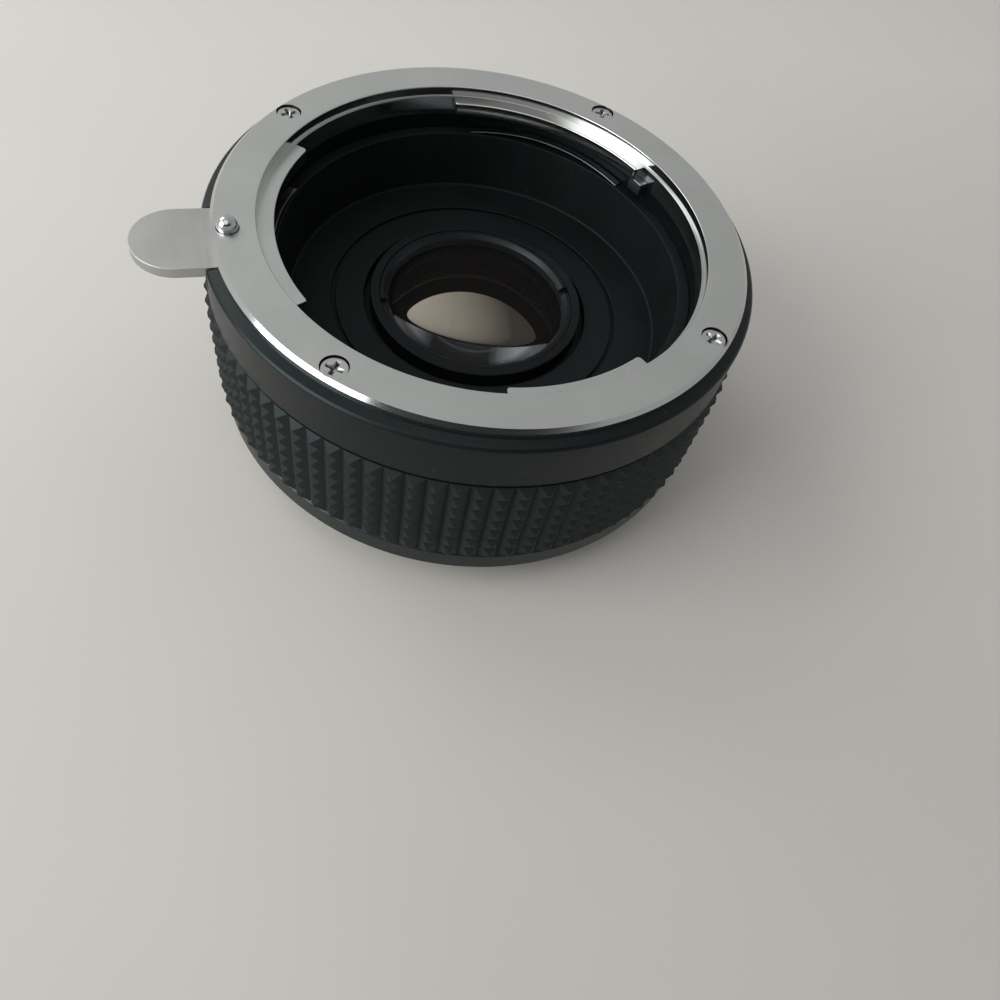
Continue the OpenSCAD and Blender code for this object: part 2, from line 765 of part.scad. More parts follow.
// Grip with upright ridges, which shallower grooves around the grip cut into teeth
module grip_ring() {
    cross_r = knurl_peak_r - knurl_cross * knurl_depth;
    places = [[0, knurl_valley_r], [(1 - knurl_cross) / 2, cross_r], [(1 + knurl_cross) / 2, cross_r]];
    loop = len(places) * grip_columns;
    rims = [for (j = [0:grip_rows], i = [0:grip_columns - 1], place = places)
        let (r = j == 0 || j == grip_rows ? knurl_valley_r : place[1])
        polar(360 * (i + place[0]) / grip_columns, r, z_grip_low + j * row_pitch)];
    peaks = [for (j = [0:grip_rows - 1], i = [0:grip_columns - 1])
        polar(360 * (i + 0.5) / grip_columns, knurl_peak_r, z_grip_low + (j + 0.5) * row_pitch)];
    sides = [for (j = [0:grip_rows - 1], i = [0:grip_columns - 1])
        let (a = j * loop + len(places) * i, b = j * loop + (len(places) * (i + 1)) % loop, c = b + loop,
            d = a + loop, p = len(rims) + j * grip_columns + i)
        each [[a, d, p], [d, d + 1, p], [d + 1, d + 2, p], [d + 2, c, p], [c, b, p], [b, a + 2, p],
            [a + 2, a + 1, p], [a + 1, a, p]]];
    top = [[for (k = [loop - 1:-1:0]) grip_rows * loop + k]];
    bottom = [[for (k = [0:loop - 1]) k]];
    color(black)
    difference() {
        polyhedron(concat(rims, peaks), concat(sides, top, bottom));
        disc(sleeve_r + fit_gap, z_grip_low - cut, z_grip_top + cut);
    }
}

module rear_cover() {
    recess = rear_flange_r + fit_gap;
    rim_in = sleeve_r + fit_gap;
    ledge_in = baffle_r - baffle_ledge;
    color(black)
    difference() {
        rotate_extrude()
            polygon([[band_r - band_edge, z_rim], [band_r, z_rim - band_edge],
                [band_r, rear_proud + band_edge],
                [band_r - band_edge, rear_proud], [recess, rear_proud], [recess, rear_flange_t],
                [baffle_seat_r, rear_flange_t], [baffle_seat_r, z_baffle_top], [ledge_in, z_baffle_top],
                [ledge_in, z_baffle_top + baffle_t], [plug_in_r, z_baffle_top + baffle_t],
                [plug_in_r, z_plug],
                [plug_r, z_plug], [plug_r, z_cover_top], [rim_in, z_cover_top], [rim_in, z_rim]]);
        at_rear_screws()
            mount_screw_hole();
    }
}

// Angle of the gap that a lug enters beside lobe i
function gap_after(i) = (lobe_from[(i + 1) % lobe_count] - lobe_to[i] + 720) % 360;

module rear_mount() {
    color(chrome)
    difference() {
        union() {
            rotate_extrude()
                polygon([[spigot_bore_r, z_spigot], [spigot_r - flange_edge, z_spigot],
                    [spigot_r, z_spigot + flange_edge], [spigot_r, 0], [rear_flange_r - flange_edge, 0],
                    [rear_flange_r, flange_edge], [rear_flange_r, rear_flange_t],
                    [spigot_bore_r, rear_flange_t]]);
            for (i = [0:lobe_count - 1])
                let (to = lobe_to[i] - lug_slack / 2, span = min(lobe_span[i], gap_after(i)) - lug_slack)
                arc_block(spigot_r - spigot_wall / 2, lug_r, to - span, to, z_lug_low, z_lug_top);
        }
        at_rear_screws()
            mount_screw_hole();
        at(lock_at, screw_r) {
            disc(notch_w / 2, -cut, rear_flange_t + cut);
            translate([0, -notch_w / 2, -cut])
                cube([band_r - screw_r, notch_w, rear_flange_t + 2 * cut]);
        }
    }
}

module rear_mount_screws() {
    color(chrome)
    at_rear_screws()
        mount_screw();
}

// Slot that an arm of the aperture ring sweeps over its travel
module arm_slot(r_in, r_out, z_low, z_high) {
    play = angle_of(slot_gap, r_in);
    arc_block(r_in - slot_gap, r_out + slot_gap, arm_at - arm_span / 2 - play,
        arm_at + arm_span / 2 + aperture_travel + play, z_low, z_high);
}

module rear_baffle() {
    first = baffle_in_r + baffle_groove_pitch;
    color(deep_black)
    difference() {
        tube(baffle_r, baffle_in_r, rear_flange_t, z_baffle_top);
        arm_slot(rear_arm_in_r, rear_arm_r, rear_flange_t - cut, z_baffle_top + cut);
        for (k = [0:baffle_grooves - 1])
            let (r = first + k * baffle_groove_pitch)
            tube(r + baffle_groove_w / 2, r - baffle_groove_w / 2, rear_flange_t - cut,
                rear_flange_t + baffle_groove_depth);
    }
}

module lens_well() {
    color(deep_black)
    difference() {
        rotate_extrude()
            polygon([[well_r, z_ledge], [well_out_r, z_ledge], [well_out_r, z_shelf],
                [well_flange_r, z_shelf],
                [well_flange_r, z_well_flange], [well_out_r, z_well_flange], [well_out_r, z_under_floor],
                [neck_r, z_under_floor], [neck_r, z_neck], [neck_bore_r, z_neck],
                [neck_bore_r, z_floor - moat_depth],
                [moat_r, z_floor - moat_depth], [moat_r, z_floor], [line_r - line_w / 2, z_floor],
                [line_r - line_w / 2, z_floor - line_depth], [line_r + line_w / 2, z_floor - line_depth],
                [line_r + line_w / 2, z_floor], [well_low_r, z_floor]]);
        tube(neck_r + cut, clip_in_r, z_clip_low - fit_gap, z_clip_top + fit_gap);
        arm_slot(arm_in_r, arm_out_r, z_under_floor - cut, z_floor + cut);
        for (az = well_screw_at)
            at(az, well_screw_r)
                disc(shank_d / 2 + fit_gap, z_well_flange - cut, z_shelf + cut);
        at(post_at, post_r)
            disc(stud_d / 2 + fit_gap, z_under_floor - cut, z_under_floor + floor_t / 2);
    }
}

module well_screws() {
    color(steel)
    for (az = well_screw_at)
        at(az, well_screw_r)
            difference() {
                union() {
                    disc(shank_d / 2, z_well_flange - well_head_h / 2, z_well_flange + well_screw_len);
                    disc(well_head_d / 2, z_well_flange - well_head_h, z_well_flange);
                }
                translate([-well_head_d, -recess_w / 2, z_well_flange - well_head_h - cut])
                    cube([2 * well_head_d, recess_w, cut + well_head_h / 2]);
            }
}

module lens_tube() {
    color(black)
    rotate_extrude()
        polygon([[tube_r, z_tube_front], [tube_r, z_tube_rear], [rear_bore_r, z_tube_rear],
            [rear_bore_r, z_lip_low],
            [lip_r, z_lip_low], [lip_r, z_lip_top], [bore_r, z_lip_top], [bore_r, z_tube_front]]);
}

module lens_lock_ring() {
    color(black)
    difference() {
        tube(neck_r - fit_gap, tube_r + fit_gap, z_neck - lock_ring_h, z_neck);
        for (side = [0, 180])
            at(side, tube_r)
                translate([0, -spanner_w / 2, z_neck - lock_ring_h - cut])
                    cube([neck_wall * 2, spanner_w, spanner_depth + cut]);
    }
}

module front_retaining_ring() {
    color(black)
    difference() {
        tube(lens_r, retainer_r, z_front_rim, z_retainer_top);
        for (side = [0, 180])
            at(side, retainer_r - cut)
                translate([0, -spanner_w / 2, z_retainer_top - spanner_depth])
                    cube([retainer_w + 2 * cut, spanner_w, spanner_depth + cut]);
    }
}

module front_element() {
    z_front_vertex = z_front_rim + sag(front_radius, retainer_r);
    color(glass) {
        intersection() {
            disc(lens_r, z_front_back, z_front_vertex + cut);
            lens_sphere(z_front_vertex - front_radius, front_radius);
        }
        intersection() {
            disc(spacer_r - fit_gap, z_front_back - front_back_sag - cut, z_front_rim);
            lens_sphere(z_front_back - front_back_sag + front_back_radius, front_back_radius);
        }
    }
}

module front_spacer() {
    color(deep_black)
    tube(lens_r, spacer_r, z_neg_rim, z_front_back);
}

module negative_element() {
    color(glass)
    difference() {
        disc(lens_r, z_neg_back, z_neg_rim);
        lens_sphere(z_neg_rim - neg_front_sag + neg_front_radius, neg_front_radius);
        lens_sphere(z_shared_top - shared_radius, shared_radius);
    }
}

module positive_element() {
    z_top = z_shared_top - fit_gap;
    z_back_vertex = z_pos_edge - pos_back_sag;
    color(glass)
    intersection() {
        disc(pos_r, z_back_vertex - cut, z_top + cut);
        lens_sphere(z_top - shared_radius, shared_radius);
        lens_sphere(z_back_vertex + pos_back_radius, pos_back_radius);
    }
}

module rear_spacer() {
    z_seat_rim = z_pos_edge - pos_back_sag + sag(pos_back_radius, spacer_r) - fit_gap;
    color(deep_black)
    rotate_extrude()
        polygon([[spacer_r, z_lip_top], [lens_r, z_lip_top], [lens_r, z_neg_back],
            [pos_r + fit_gap, z_neg_back], [pos_r + fit_gap, z_seat_rim], [spacer_r, z_seat_rim]]);
}

module rear_element() {
    color(glass)
    difference() {
        disc(rear_r, z_rear_back, z_lip_low);
        lens_sphere(z_lip_low - sag(rear_radius, lip_r) + rear_radius, rear_radius);
    }
}

module rear_retaining_ring() {
    z_low = z_rear_back - rear_retainer_h;
    color(black)
    difference() {
        tube(rear_r, rear_r - rear_retainer_w, z_low, z_rear_back);
        for (side = [0, 180])
            at(side, rear_r - rear_retainer_w - cut)
                translate([0, -spanner_w / 2, z_low - cut])
                    cube([rear_retainer_w + 2 * cut, spanner_w, spanner_depth + cut]);
    }
}

module at_rivets() {
    half = arm_span / 2 + angle_of(rivet_d, rivet_r);
    for (side = [-half, half])
        at(arm_at + side, rivet_r)
            children();
}

// Flat ring that turns on the well's neck, with an arm bent up through the floor
module aperture_ring() {
    from = arm_at - arm_span / 2;
    to = arm_at + arm_span / 2;
    color(steel)
    difference() {
        union() {
            tube(ring_r, ring_bore_r, z_ring_low, z_ring_top);
            arc_block(ring_r - arm_out, arm_out_r, from, to, z_ring_low, z_ring_top);
            arc_block(arm_in_r, arm_out_r, from, to, z_ring_low, z_arm_top);
        }
        at_rivets()
            disc(rivet_d / 2 + fit_gap, z_ring_low - cut, z_ring_top + cut);
        at(stud_at, stud_r)
            disc(stud_d / 4 + fit_gap, z_ring_low - cut, z_ring_top + cut);
    }
}

module aperture_rear_arm() {
    from = arm_at - arm_span / 2;
    to = arm_at + arm_span / 2;
    foot_in = rivet_r - rivet_d;
    widen = 2 * angle_of(rivet_d, rivet_r);
    color(steel)
    difference() {
        union() {
            arc_block(foot_in, ring_r, from - widen, to + widen, z_foot, z_ring_low);
            arc_block(rear_arm_in_r, rear_arm_r, from, to, z_spigot + arm_short, z_foot + foot_t / 2);
        }
        at_rivets()
            disc(rivet_d / 2 + fit_gap, z_foot - cut, z_ring_low + cut);
    }
}

module arm_rivets() {
    color(brass)
    at_rivets() {
        disc(rivet_d / 2, z_foot - rivet_head_h / 2, z_ring_top);
        disc(rivet_d * stud_foot_share, z_foot - rivet_head_h, z_foot);
    }
}

module ring_clip() {
    color(steel)
    arc_block(clip_in_r + fit_gap, neck_r + clip_reach, clip_gap / 2, 360 - clip_gap / 2, z_clip_low,
        z_clip_top);
}

// Stud with a foot flange that keeps the spring's loop on it
module spring_stud(z_top) {
    disc(stud_d / 2, z_studs + stud_foot_h / 2, z_top);
    disc(stud_d * stud_foot_share, z_studs, z_stud_foot);
}

module ring_stud() {
    color(brass)
    at(stud_at, stud_r) {
        spring_stud(z_ring_low);
        disc(stud_d / 4, z_ring_low, z_ring_top);
    }
}

module spring_post() {
    color(brass)
    at(post_at, post_r)
        spring_stud(z_under_floor + floor_t / 2 - fit_gap);
}

coil_steps = 8;
loop_steps = 10;
loop_open = 30;
stud_place = polar(stud_at, stud_r, z_spring);
post_place = polar(post_at, post_r, z_spring);
coil_span = norm(post_place - stud_place);
coil_from = loop_r + coil_wire_d;
coil_to = coil_span - coil_from;
coil_turn = coil_turns * coil_steps;
coil_path = concat(
    [for (i = [0:loop_steps])
        let (a = -loop_open - (360 - 2 * loop_open) * i / loop_steps) polar(a, loop_r, 0)],
    [for (i = [0:coil_turn])
        let (a = 360 * i / coil_steps)
        [coil_from + (coil_to - coil_from) * i / coil_turn, coil_mid_r * cos(a), coil_mid_r * sin(a)]],
    [for (i = [0:loop_steps])
        let (a = 180 - loop_open - (360 - 2 * loop_open) * i / loop_steps)
        [coil_span, 0, 0] + polar(a, loop_r, 0)]);

module aperture_spring() {
    along = post_place - stud_place;
    echo("least gap of the return spring", (coil_to - coil_from) / coil_turns - coil_wire_d);
    color(steel)
    translate(stud_place)
        rotate([0, 0, atan2(along.y, along.x)])
            wire(coil_path, coil_wire_d);
}

front_mount();
front_mount_screws();
lock_pin();
release_lever();
lock_spring();
bayonet_stop();
bayonet_spring_1();
bayonet_spring_2();
bayonet_spring_3();
main_barrel();
index_bead();
grip_ring();
rear_cover();
rear_mount();
rear_mount_screws();
rear_baffle();
lens_well();
well_screws();
lens_tube();
lens_lock_ring();
front_retaining_ring();
front_element();
front_spacer();
negative_element();
positive_element();
rear_spacer();
rear_element();
rear_retaining_ring();
aperture_ring();
aperture_rear_arm();
arm_rivets();
ring_clip();
ring_stud();
spring_post();
aperture_spring();
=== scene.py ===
"""Dressed model of a camera teleconverter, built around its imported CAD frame.

Sizes are written in millimetres, in the CAD's own frame, and become metres where a mesh is made. The origin is on the
optical axis in the camera-side register face, +Z points to the lens and the release tab points along -X.
"""
import logging
import math
from dataclasses import dataclass, replace
from enum import Enum
from typing import Callable

import bmesh
import bpy
from mathutils import Matrix, Vector


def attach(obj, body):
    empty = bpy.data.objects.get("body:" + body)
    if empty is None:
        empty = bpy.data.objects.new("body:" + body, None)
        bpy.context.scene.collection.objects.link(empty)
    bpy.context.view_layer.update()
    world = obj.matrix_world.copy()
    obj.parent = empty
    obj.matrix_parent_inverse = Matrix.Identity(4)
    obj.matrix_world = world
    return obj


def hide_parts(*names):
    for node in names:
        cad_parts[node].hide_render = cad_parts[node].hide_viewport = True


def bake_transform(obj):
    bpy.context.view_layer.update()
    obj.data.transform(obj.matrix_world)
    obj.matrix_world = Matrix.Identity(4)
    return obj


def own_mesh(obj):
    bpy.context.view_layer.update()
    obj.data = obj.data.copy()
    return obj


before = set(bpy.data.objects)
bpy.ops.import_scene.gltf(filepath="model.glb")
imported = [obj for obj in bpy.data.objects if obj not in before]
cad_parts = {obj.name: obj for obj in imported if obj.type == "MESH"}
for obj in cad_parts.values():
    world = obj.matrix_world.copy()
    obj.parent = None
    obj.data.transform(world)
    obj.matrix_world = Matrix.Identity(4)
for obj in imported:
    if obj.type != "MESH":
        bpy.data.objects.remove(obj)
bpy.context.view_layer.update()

LOG = logging.getLogger("teleconverter")
MM = 0.001
TURN = 360.0
SQUARE = 0.99999

Colour = tuple[float, float, float]
Point = tuple[float, float]
Corner = tuple[float, float, float]
Ring = tuple[float, list[Point]]
Socket = bpy.types.NodeSocket
Piece = bpy.types.Object


class Body(Enum):
    """The CAD bodies that pieces ride on."""

    BODY = "body"
    RELEASE = "release"
    APERTURE = "aperture"


class Slot(Enum):
    """The record's material slots."""

    CHROME = "chrome"
    SCREW = "bright_screw"
    STEEL = "steel"
    BARREL = "black_barrel"
    GRIP = "black_grip"
    MATT = "black_matt"
    SATIN = "black_satin"
    INDEX = "index_red"
    GLASS = "glass"


# Meshes


def polar(az: float, r: float, z: float) -> Vector:
    """Gives the point in metres at a direction in degrees, a radius and a height in millimetres."""
    turn = math.radians(az)
    return Vector((r * math.cos(turn), r * math.sin(turn), z)) * MM


def rounded(corners: list[Corner], steps: int = 4) -> list[Point]:
    """Rounds the corners of a closed outline.

    Args:
        corners: Radius, height and fillet of each corner.
        steps: Segments in each fillet.

    Returns:
        The points of the outline in order.
    """
    points: list[Point] = []
    for index, (r, z, fillet) in enumerate(corners):
        if fillet <= 0:
            points.append((r, z))
            continue
        here = Vector((r, z))
        before = Vector(corners[index - 1][:2]) - here
        after = Vector(corners[(index + 1) % len(corners)][:2]) - here
        half = before.angle(after) / 2
        reach = min(fillet / math.tan(half), 0.48 * before.length, 0.48 * after.length)
        radius = reach * math.tan(half)
        centre = here + (before.normalized() + after.normalized()).normalized() * (radius / math.sin(half))
        first = here + before.normalized() * reach - centre
        last = here + after.normalized() * reach - centre
        sweep = first.angle(last)
        for k in range(steps + 1):
            share = k / steps
            turned = (first * math.sin((1 - share) * sweep) + last * math.sin(share * sweep)) / math.sin(sweep)
            points.append(tuple(centre + turned))
    return points


def finish_mesh(name: str, bm: bmesh.types.BMesh, sharp: float = 38.0) -> Piece:
    """Turns a bmesh into an object with clean normals.

    Args:
        name: Name of the piece.
        bm: Mesh to take over.
        sharp: Angle in degrees above which an edge stays sharp.

    Returns:
        The new object, linked to the scene.
    """
    bmesh.ops.remove_doubles(bm, verts=bm.verts, dist=1e-8)
    bmesh.ops.dissolve_degenerate(bm, edges=bm.edges, dist=1e-8)
    bmesh.ops.recalc_face_normals(bm, faces=bm.faces)
    mesh = bpy.data.meshes.new(name)
    bm.to_mesh(mesh)
    bm.free()
    piece = bpy.data.objects.new(name, mesh)
    bpy.context.scene.collection.objects.link(piece)
    shade(piece, sharp)
    return piece


def shade(piece: Piece, sharp: float = 38.0) -> None:
    """Shades a piece smooth, with sharp edges, and keeps faces square to the axis flat.

    Args:
        piece: Piece to shade.
        sharp: Angle in degrees above which an edge stays sharp.
    """
    mesh = piece.data
    if "custom_normal" in mesh.attributes:
        mesh.attributes.remove(mesh.attributes["custom_normal"])
    mesh.polygons.foreach_set("use_smooth", [True] * len(mesh.polygons))
    mesh.set_sharp_from_angle(angle=math.radians(sharp))
    mesh.polygons.foreach_set("use_smooth", [abs(face.normal.z) < SQUARE for face in mesh.polygons])
    if "flat faces" not in piece.modifiers:
        weighted = piece.modifiers.new("flat faces", "WEIGHTED_NORMAL")
        weighted.keep_sharp = True
        weighted.weight = 60


def skin(bm: bmesh.types.BMesh, rings: list[list[bmesh.types.BMVert]], closed: bool = False) -> None:
    """Joins rings of points by faces.

    Args:
        bm: Mesh to add to.
        rings: Points of each ring, all with as many points.
        closed: Whether the last ring meets the first one; otherwise the two ends are capped.
    """
    for ring, following in zip(rings, rings[1:] + rings[:1] if closed else rings[1:]):
        for k in range(len(ring)):
            n = (k + 1) % len(ring)
            bm.faces.new((ring[k], following[k], following[n], ring[n]))
    if not closed:
        bm.faces.new(rings[0])
        bm.faces.new(rings[-1])


def revolve(name: str, rings: list[Ring], closed: bool = True, sharp: float = 38.0) -> Piece:
    """Joins outlines at successive directions into one skin.

    Args:
        name: Name of the piece.
        rings: Direction in degrees and closed outline of each ring, all with as many points.
        closed: Whether the last ring meets the first one; otherwise the two ends are capped.
        sharp: Angle in degrees above which an edge stays sharp.

    Returns:
        The new object.
    """
    bm = bmesh.new()
    skin(bm, [[bm.verts.new(polar(az, r, z)) for r, z in outline] for az, outline in rings], closed)
    return finish_mesh(name, bm, sharp)


def lathe(name: str, corners: list[Corner], segments: int = 360, sharp: float = 38.0) -> Piece:
    """Turns a closed outline that stays off the axis into a ring.

    Args:
        name: Name of the piece.
        corners: Radius, height and fillet of each corner.
        segments: Steps around the axis.
        sharp: Angle in degrees above which an edge stays sharp.

    Returns:
        The new object.
    """
    outline = rounded(corners)
    return revolve(name, [(TURN * k / segments, outline) for k in range(segments)], sharp=sharp)


def spindle(name: str, outline: list[Point], segments: int = 96, sharp: float = 38.0) -> Piece:
    """Turns an open outline that starts and ends on the axis into a solid.

    Args:
        name: Name of the piece.
        outline: Radius and height of each point, with radius 0 at both ends.
        segments: Steps around the axis.
        sharp: Angle in degrees above which an edge stays sharp.

    Returns:
        The new object.
    """
    bm = bmesh.new()
    first = bm.verts.new(polar(0, *outline[0]))
    last = bm.verts.new(polar(0, *outline[-1]))
    columns = [[bm.verts.new(polar(TURN * k / segments, r, z)) for r, z in outline[1:-1]] for k in range(segments)]
    for column, following in zip(columns, columns[1:] + columns[:1]):
        bm.faces.new((first, column[0], following[0]))
        bm.faces.new((last, following[-1], column[-1]))
        for k in range(len(column) - 1):
            bm.faces.new((column[k], column[k + 1], following[k + 1], following[k]))
    return finish_mesh(name, bm, sharp)


def prism(name: str, outlines: list[Ring], sharp: float = 38.0) -> Piece:
    """Joins flat outlines at successive heights into a capped solid.

    Args:
        name: Name of the piece.
        outlines: Height and closed outline in X and Y of each level, all with as many points.
        sharp: Angle in degrees above which an edge stays sharp.

    Returns:
        The new object.
    """
    bm = bmesh.new()
    skin(bm, [[bm.verts.new(Vector((x, y, z)) * MM) for x, y in outline] for z, outline in outlines])
    return finish_mesh(name, bm, sharp)


def wire(name: str, path: list[Vector], d: float, sides: int = 12) -> Piece:
    """Draws a round wire along a path.

    Args:
        name: Name of the piece.
        path: Points along the wire, in millimetres.
        d: Diameter of the wire.
        sides: Sides of its section.

    Returns:
        The new object.
    """
    bm = bmesh.new()
    normal = Vector((0.0, 0.3, 1.0))
    rings = []
    for k, point in enumerate(path):
        along = (path[min(k + 1, len(path) - 1)] - path[max(k - 1, 0)]).normalized()
        normal = (normal - normal.dot(along) * along).normalized()
        side = along.cross(normal)
        turns = [math.tau * s / sides for s in range(sides)]
        rings.append([bm.verts.new((point + d / 2 * (math.cos(a) * normal + math.sin(a) * side)) * MM) for a in turns])
    skin(bm, rings)
    return finish_mesh(name, bm, 60)


def soften(piece: Piece, width: float, steps: int = 3, limit: float = 50.0) -> Piece:
    """Bevels the sharp edges of a piece.

    Args:
        piece: Piece to change.
        width: Width of the bevel in millimetres.
        steps: Segments of the bevel.
        limit: Angle in degrees above which an edge is beveled.

    Returns:
        The same piece.
    """
    bm = bmesh.new()
    bm.from_mesh(piece.data)
    edges = [e for e in bm.edges if len(e.link_faces) == 2 and e.calc_face_angle() > math.radians(limit)]
    bmesh.ops.bevel(bm, geom=edges, offset=width * MM, segments=steps, profile=0.5, affect="EDGES", clamp_overlap=True)
    bmesh.ops.recalc_face_normals(bm, faces=bm.faces)
    bm.to_mesh(piece.data)
    bm.free()
    shade(piece)
    return piece


def carve(piece: Piece, cutters: list[Piece], sharp: float = 38.0) -> Piece:
    """Cuts pieces out of a piece, deletes them and closes faces that a cut leaves open.

    Args:
        piece: Piece to cut.
        cutters: Closed pieces to cut away.
        sharp: Angle in degrees above which an edge stays sharp.

    Returns:
        The same piece.
    """
    piece.modifiers.clear()
    for cutter in cutters:
        cutter.modifiers.clear()
        boolean = piece.modifiers.new("cut", "BOOLEAN")
        boolean.operation = "DIFFERENCE"
        boolean.solver = "EXACT"
        boolean.object = cutter
        evaluated = piece.evaluated_get(bpy.context.evaluated_depsgraph_get())
        cut = bpy.data.meshes.new_from_object(evaluated)
        piece.modifiers.clear()
        piece.data = cut
        cutter_mesh = cutter.data
        bpy.data.objects.remove(cutter)
        bpy.data.meshes.remove(cutter_mesh)
    bm = bmesh.new()
    bm.from_mesh(piece.data)
    bmesh.ops.holes_fill(bm, edges=[edge for edge in bm.edges if edge.is_boundary], sides=6)
    bm.to_mesh(piece.data)
    bm.free()
    shade(piece, sharp)
    return piece


def place(piece: Piece, move: Matrix) -> Piece:
    """Moves the mesh of a piece and returns the piece."""
    piece.data.transform(move)
    return piece


def join(name: str, pieces: list[Piece]) -> Piece:
    """Makes one piece out of several that don't touch.

    Args:
        name: Name of the new piece.
        pieces: Pieces to take over and delete.

    Returns:
        The new object.
    """
    bm = bmesh.new()
    for piece in pieces:
        bm.from_mesh(piece.data)
        bpy.data.objects.remove(piece)
    return finish_mesh(name, bm)


def settle(piece: Piece, body: Body, slot: Slot, material: bpy.types.Material, *nodes: str) -> Piece:
    """Gives a new piece its finish and its body, and hides the CAD nodes that it stands for.

    Args:
        piece: Piece to settle.
        body: Body that it rides on.
        slot: Not used.
        material: Finish of the piece.
        nodes: CAD nodes that it replaces.

    Returns:
        The same piece.
    """
    piece.data.materials.clear()
    piece.data.materials.append(material)
    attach(piece, body.value)
    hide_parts(*nodes)
    LOG.info("%s: %d faces, rides on %s", piece.name, len(piece.data.polygons), body.value)
    return piece


def keep(material: bpy.types.Material, *nodes: str) -> None:
    """Gives CAD nodes that stay in view a finish.

    Args:
        material: Finish of the nodes.
        nodes: Names of the nodes.
    """
    for name in nodes:
        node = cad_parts[name]
        node.data.materials.clear()
        node.data.materials.append(material)
        LOG.info("%s: CAD solid with the finish %s", name, material.name)


# Finishes


THIN = 0.02


class Nodes:
    """Small builder for a node tree."""

    def __init__(self, tree: bpy.types.NodeTree) -> None:
        """Takes over a tree."""
        self.tree = tree

    def add(self, kind: str) -> bpy.types.Node:
        """Adds a node of the given kind and returns it."""
        return self.tree.nodes.new(kind)

    def set(self, node: bpy.types.Node, socket: str | int, value: Socket | Colour | Vector | float) -> None:
        """Links a varying value to an input of a node, or sets an even one on it.

        Args:
            node: Node to feed.
            socket: Name or place of its input.
            value: Socket to link, or an even colour, vector or number.
        """
        target = node.inputs[socket]
        if isinstance(value, Socket):
            self.tree.links.new(value, target)
        elif isinstance(value, tuple):
            target.default_value = (*value, 1.0)
        else:
            target.default_value = value

    def math(self, operation: str, *values: Socket | float) -> Socket:
        """Works out a sum of varying values.

        Args:
            operation: Name of the operation.
            values: Its inputs in order.

        Returns:
            The result.
        """
        node = self.add("ShaderNodeMath")
        node.operation = operation
        for k, value in enumerate(values):
            self.set(node, k, value)
        return node.outputs["Value"]

    def span(self, value: Socket, low: float, high: float, to_low: float = 0.0, to_high: float = 1.0) -> Socket:
        """Maps values from one range to another, held at its ends.

        Args:
            value: Values to map.
            low: Value that becomes to_low.
            high: Value that becomes to_high.
            to_low: First end of the new range.
            to_high: Last end of the new range.

        Returns:
            The mapped values.
        """
        node = self.add("ShaderNodeMapRange")
        for name, entry in (("Value", value), ("From Min", low), ("From Max", high), ("To Min", to_low),
                            ("To Max", to_high)):
            self.set(node, name, entry)
        return node.outputs["Result"]

    def blend(self, share: Socket, first: Colour | Socket, second: Colour | Socket) -> Socket:
        """Mixes two colours.

        Args:
            share: Share of the second colour.
            first: Colour at a share of 0.
            second: Colour at a share of 1.

        Returns:
            The mix.
        """
        node = self.add("ShaderNodeMix")
        node.data_type = "RGBA"
        for socket, value in (("Factor", share), (6, first), (7, second)):
            self.set(node, socket, value)
        return node.outputs[2]

    def split(self, vector: Socket) -> bpy.types.bpy_prop_collection:
        """Splits a vector and returns its X, Y and Z."""
        node = self.add("ShaderNodeSeparateXYZ")
        self.set(node, 0, vector)
        return node.outputs

    def hypot(self, first: Socket, second: Socket) -> Socket:
        """Gives the length of a vector from its two parts."""
        return self.math("SQRT", self.math("ADD", self.math("POWER", first, 2.0), self.math("POWER", second, 2.0)))

    def towards(self, direction: Socket, axis: Corner, low: float, high: float) -> Socket:
        """Gives how far a direction points along an axis.

        Args:
            direction: Direction to judge.
            axis: Axis of any length.
            low: Cosine that gives 0.
            high: Cosine that gives 1.

        Returns:
            Values from 0 to 1.
        """
        dot = self.add("ShaderNodeVectorMath")
        dot.operation = "DOT_PRODUCT"
        self.set(dot, 0, direction)
        self.set(dot, 1, Vector(axis).normalized())
        return self.span(dot.outputs["Value"], low, high)


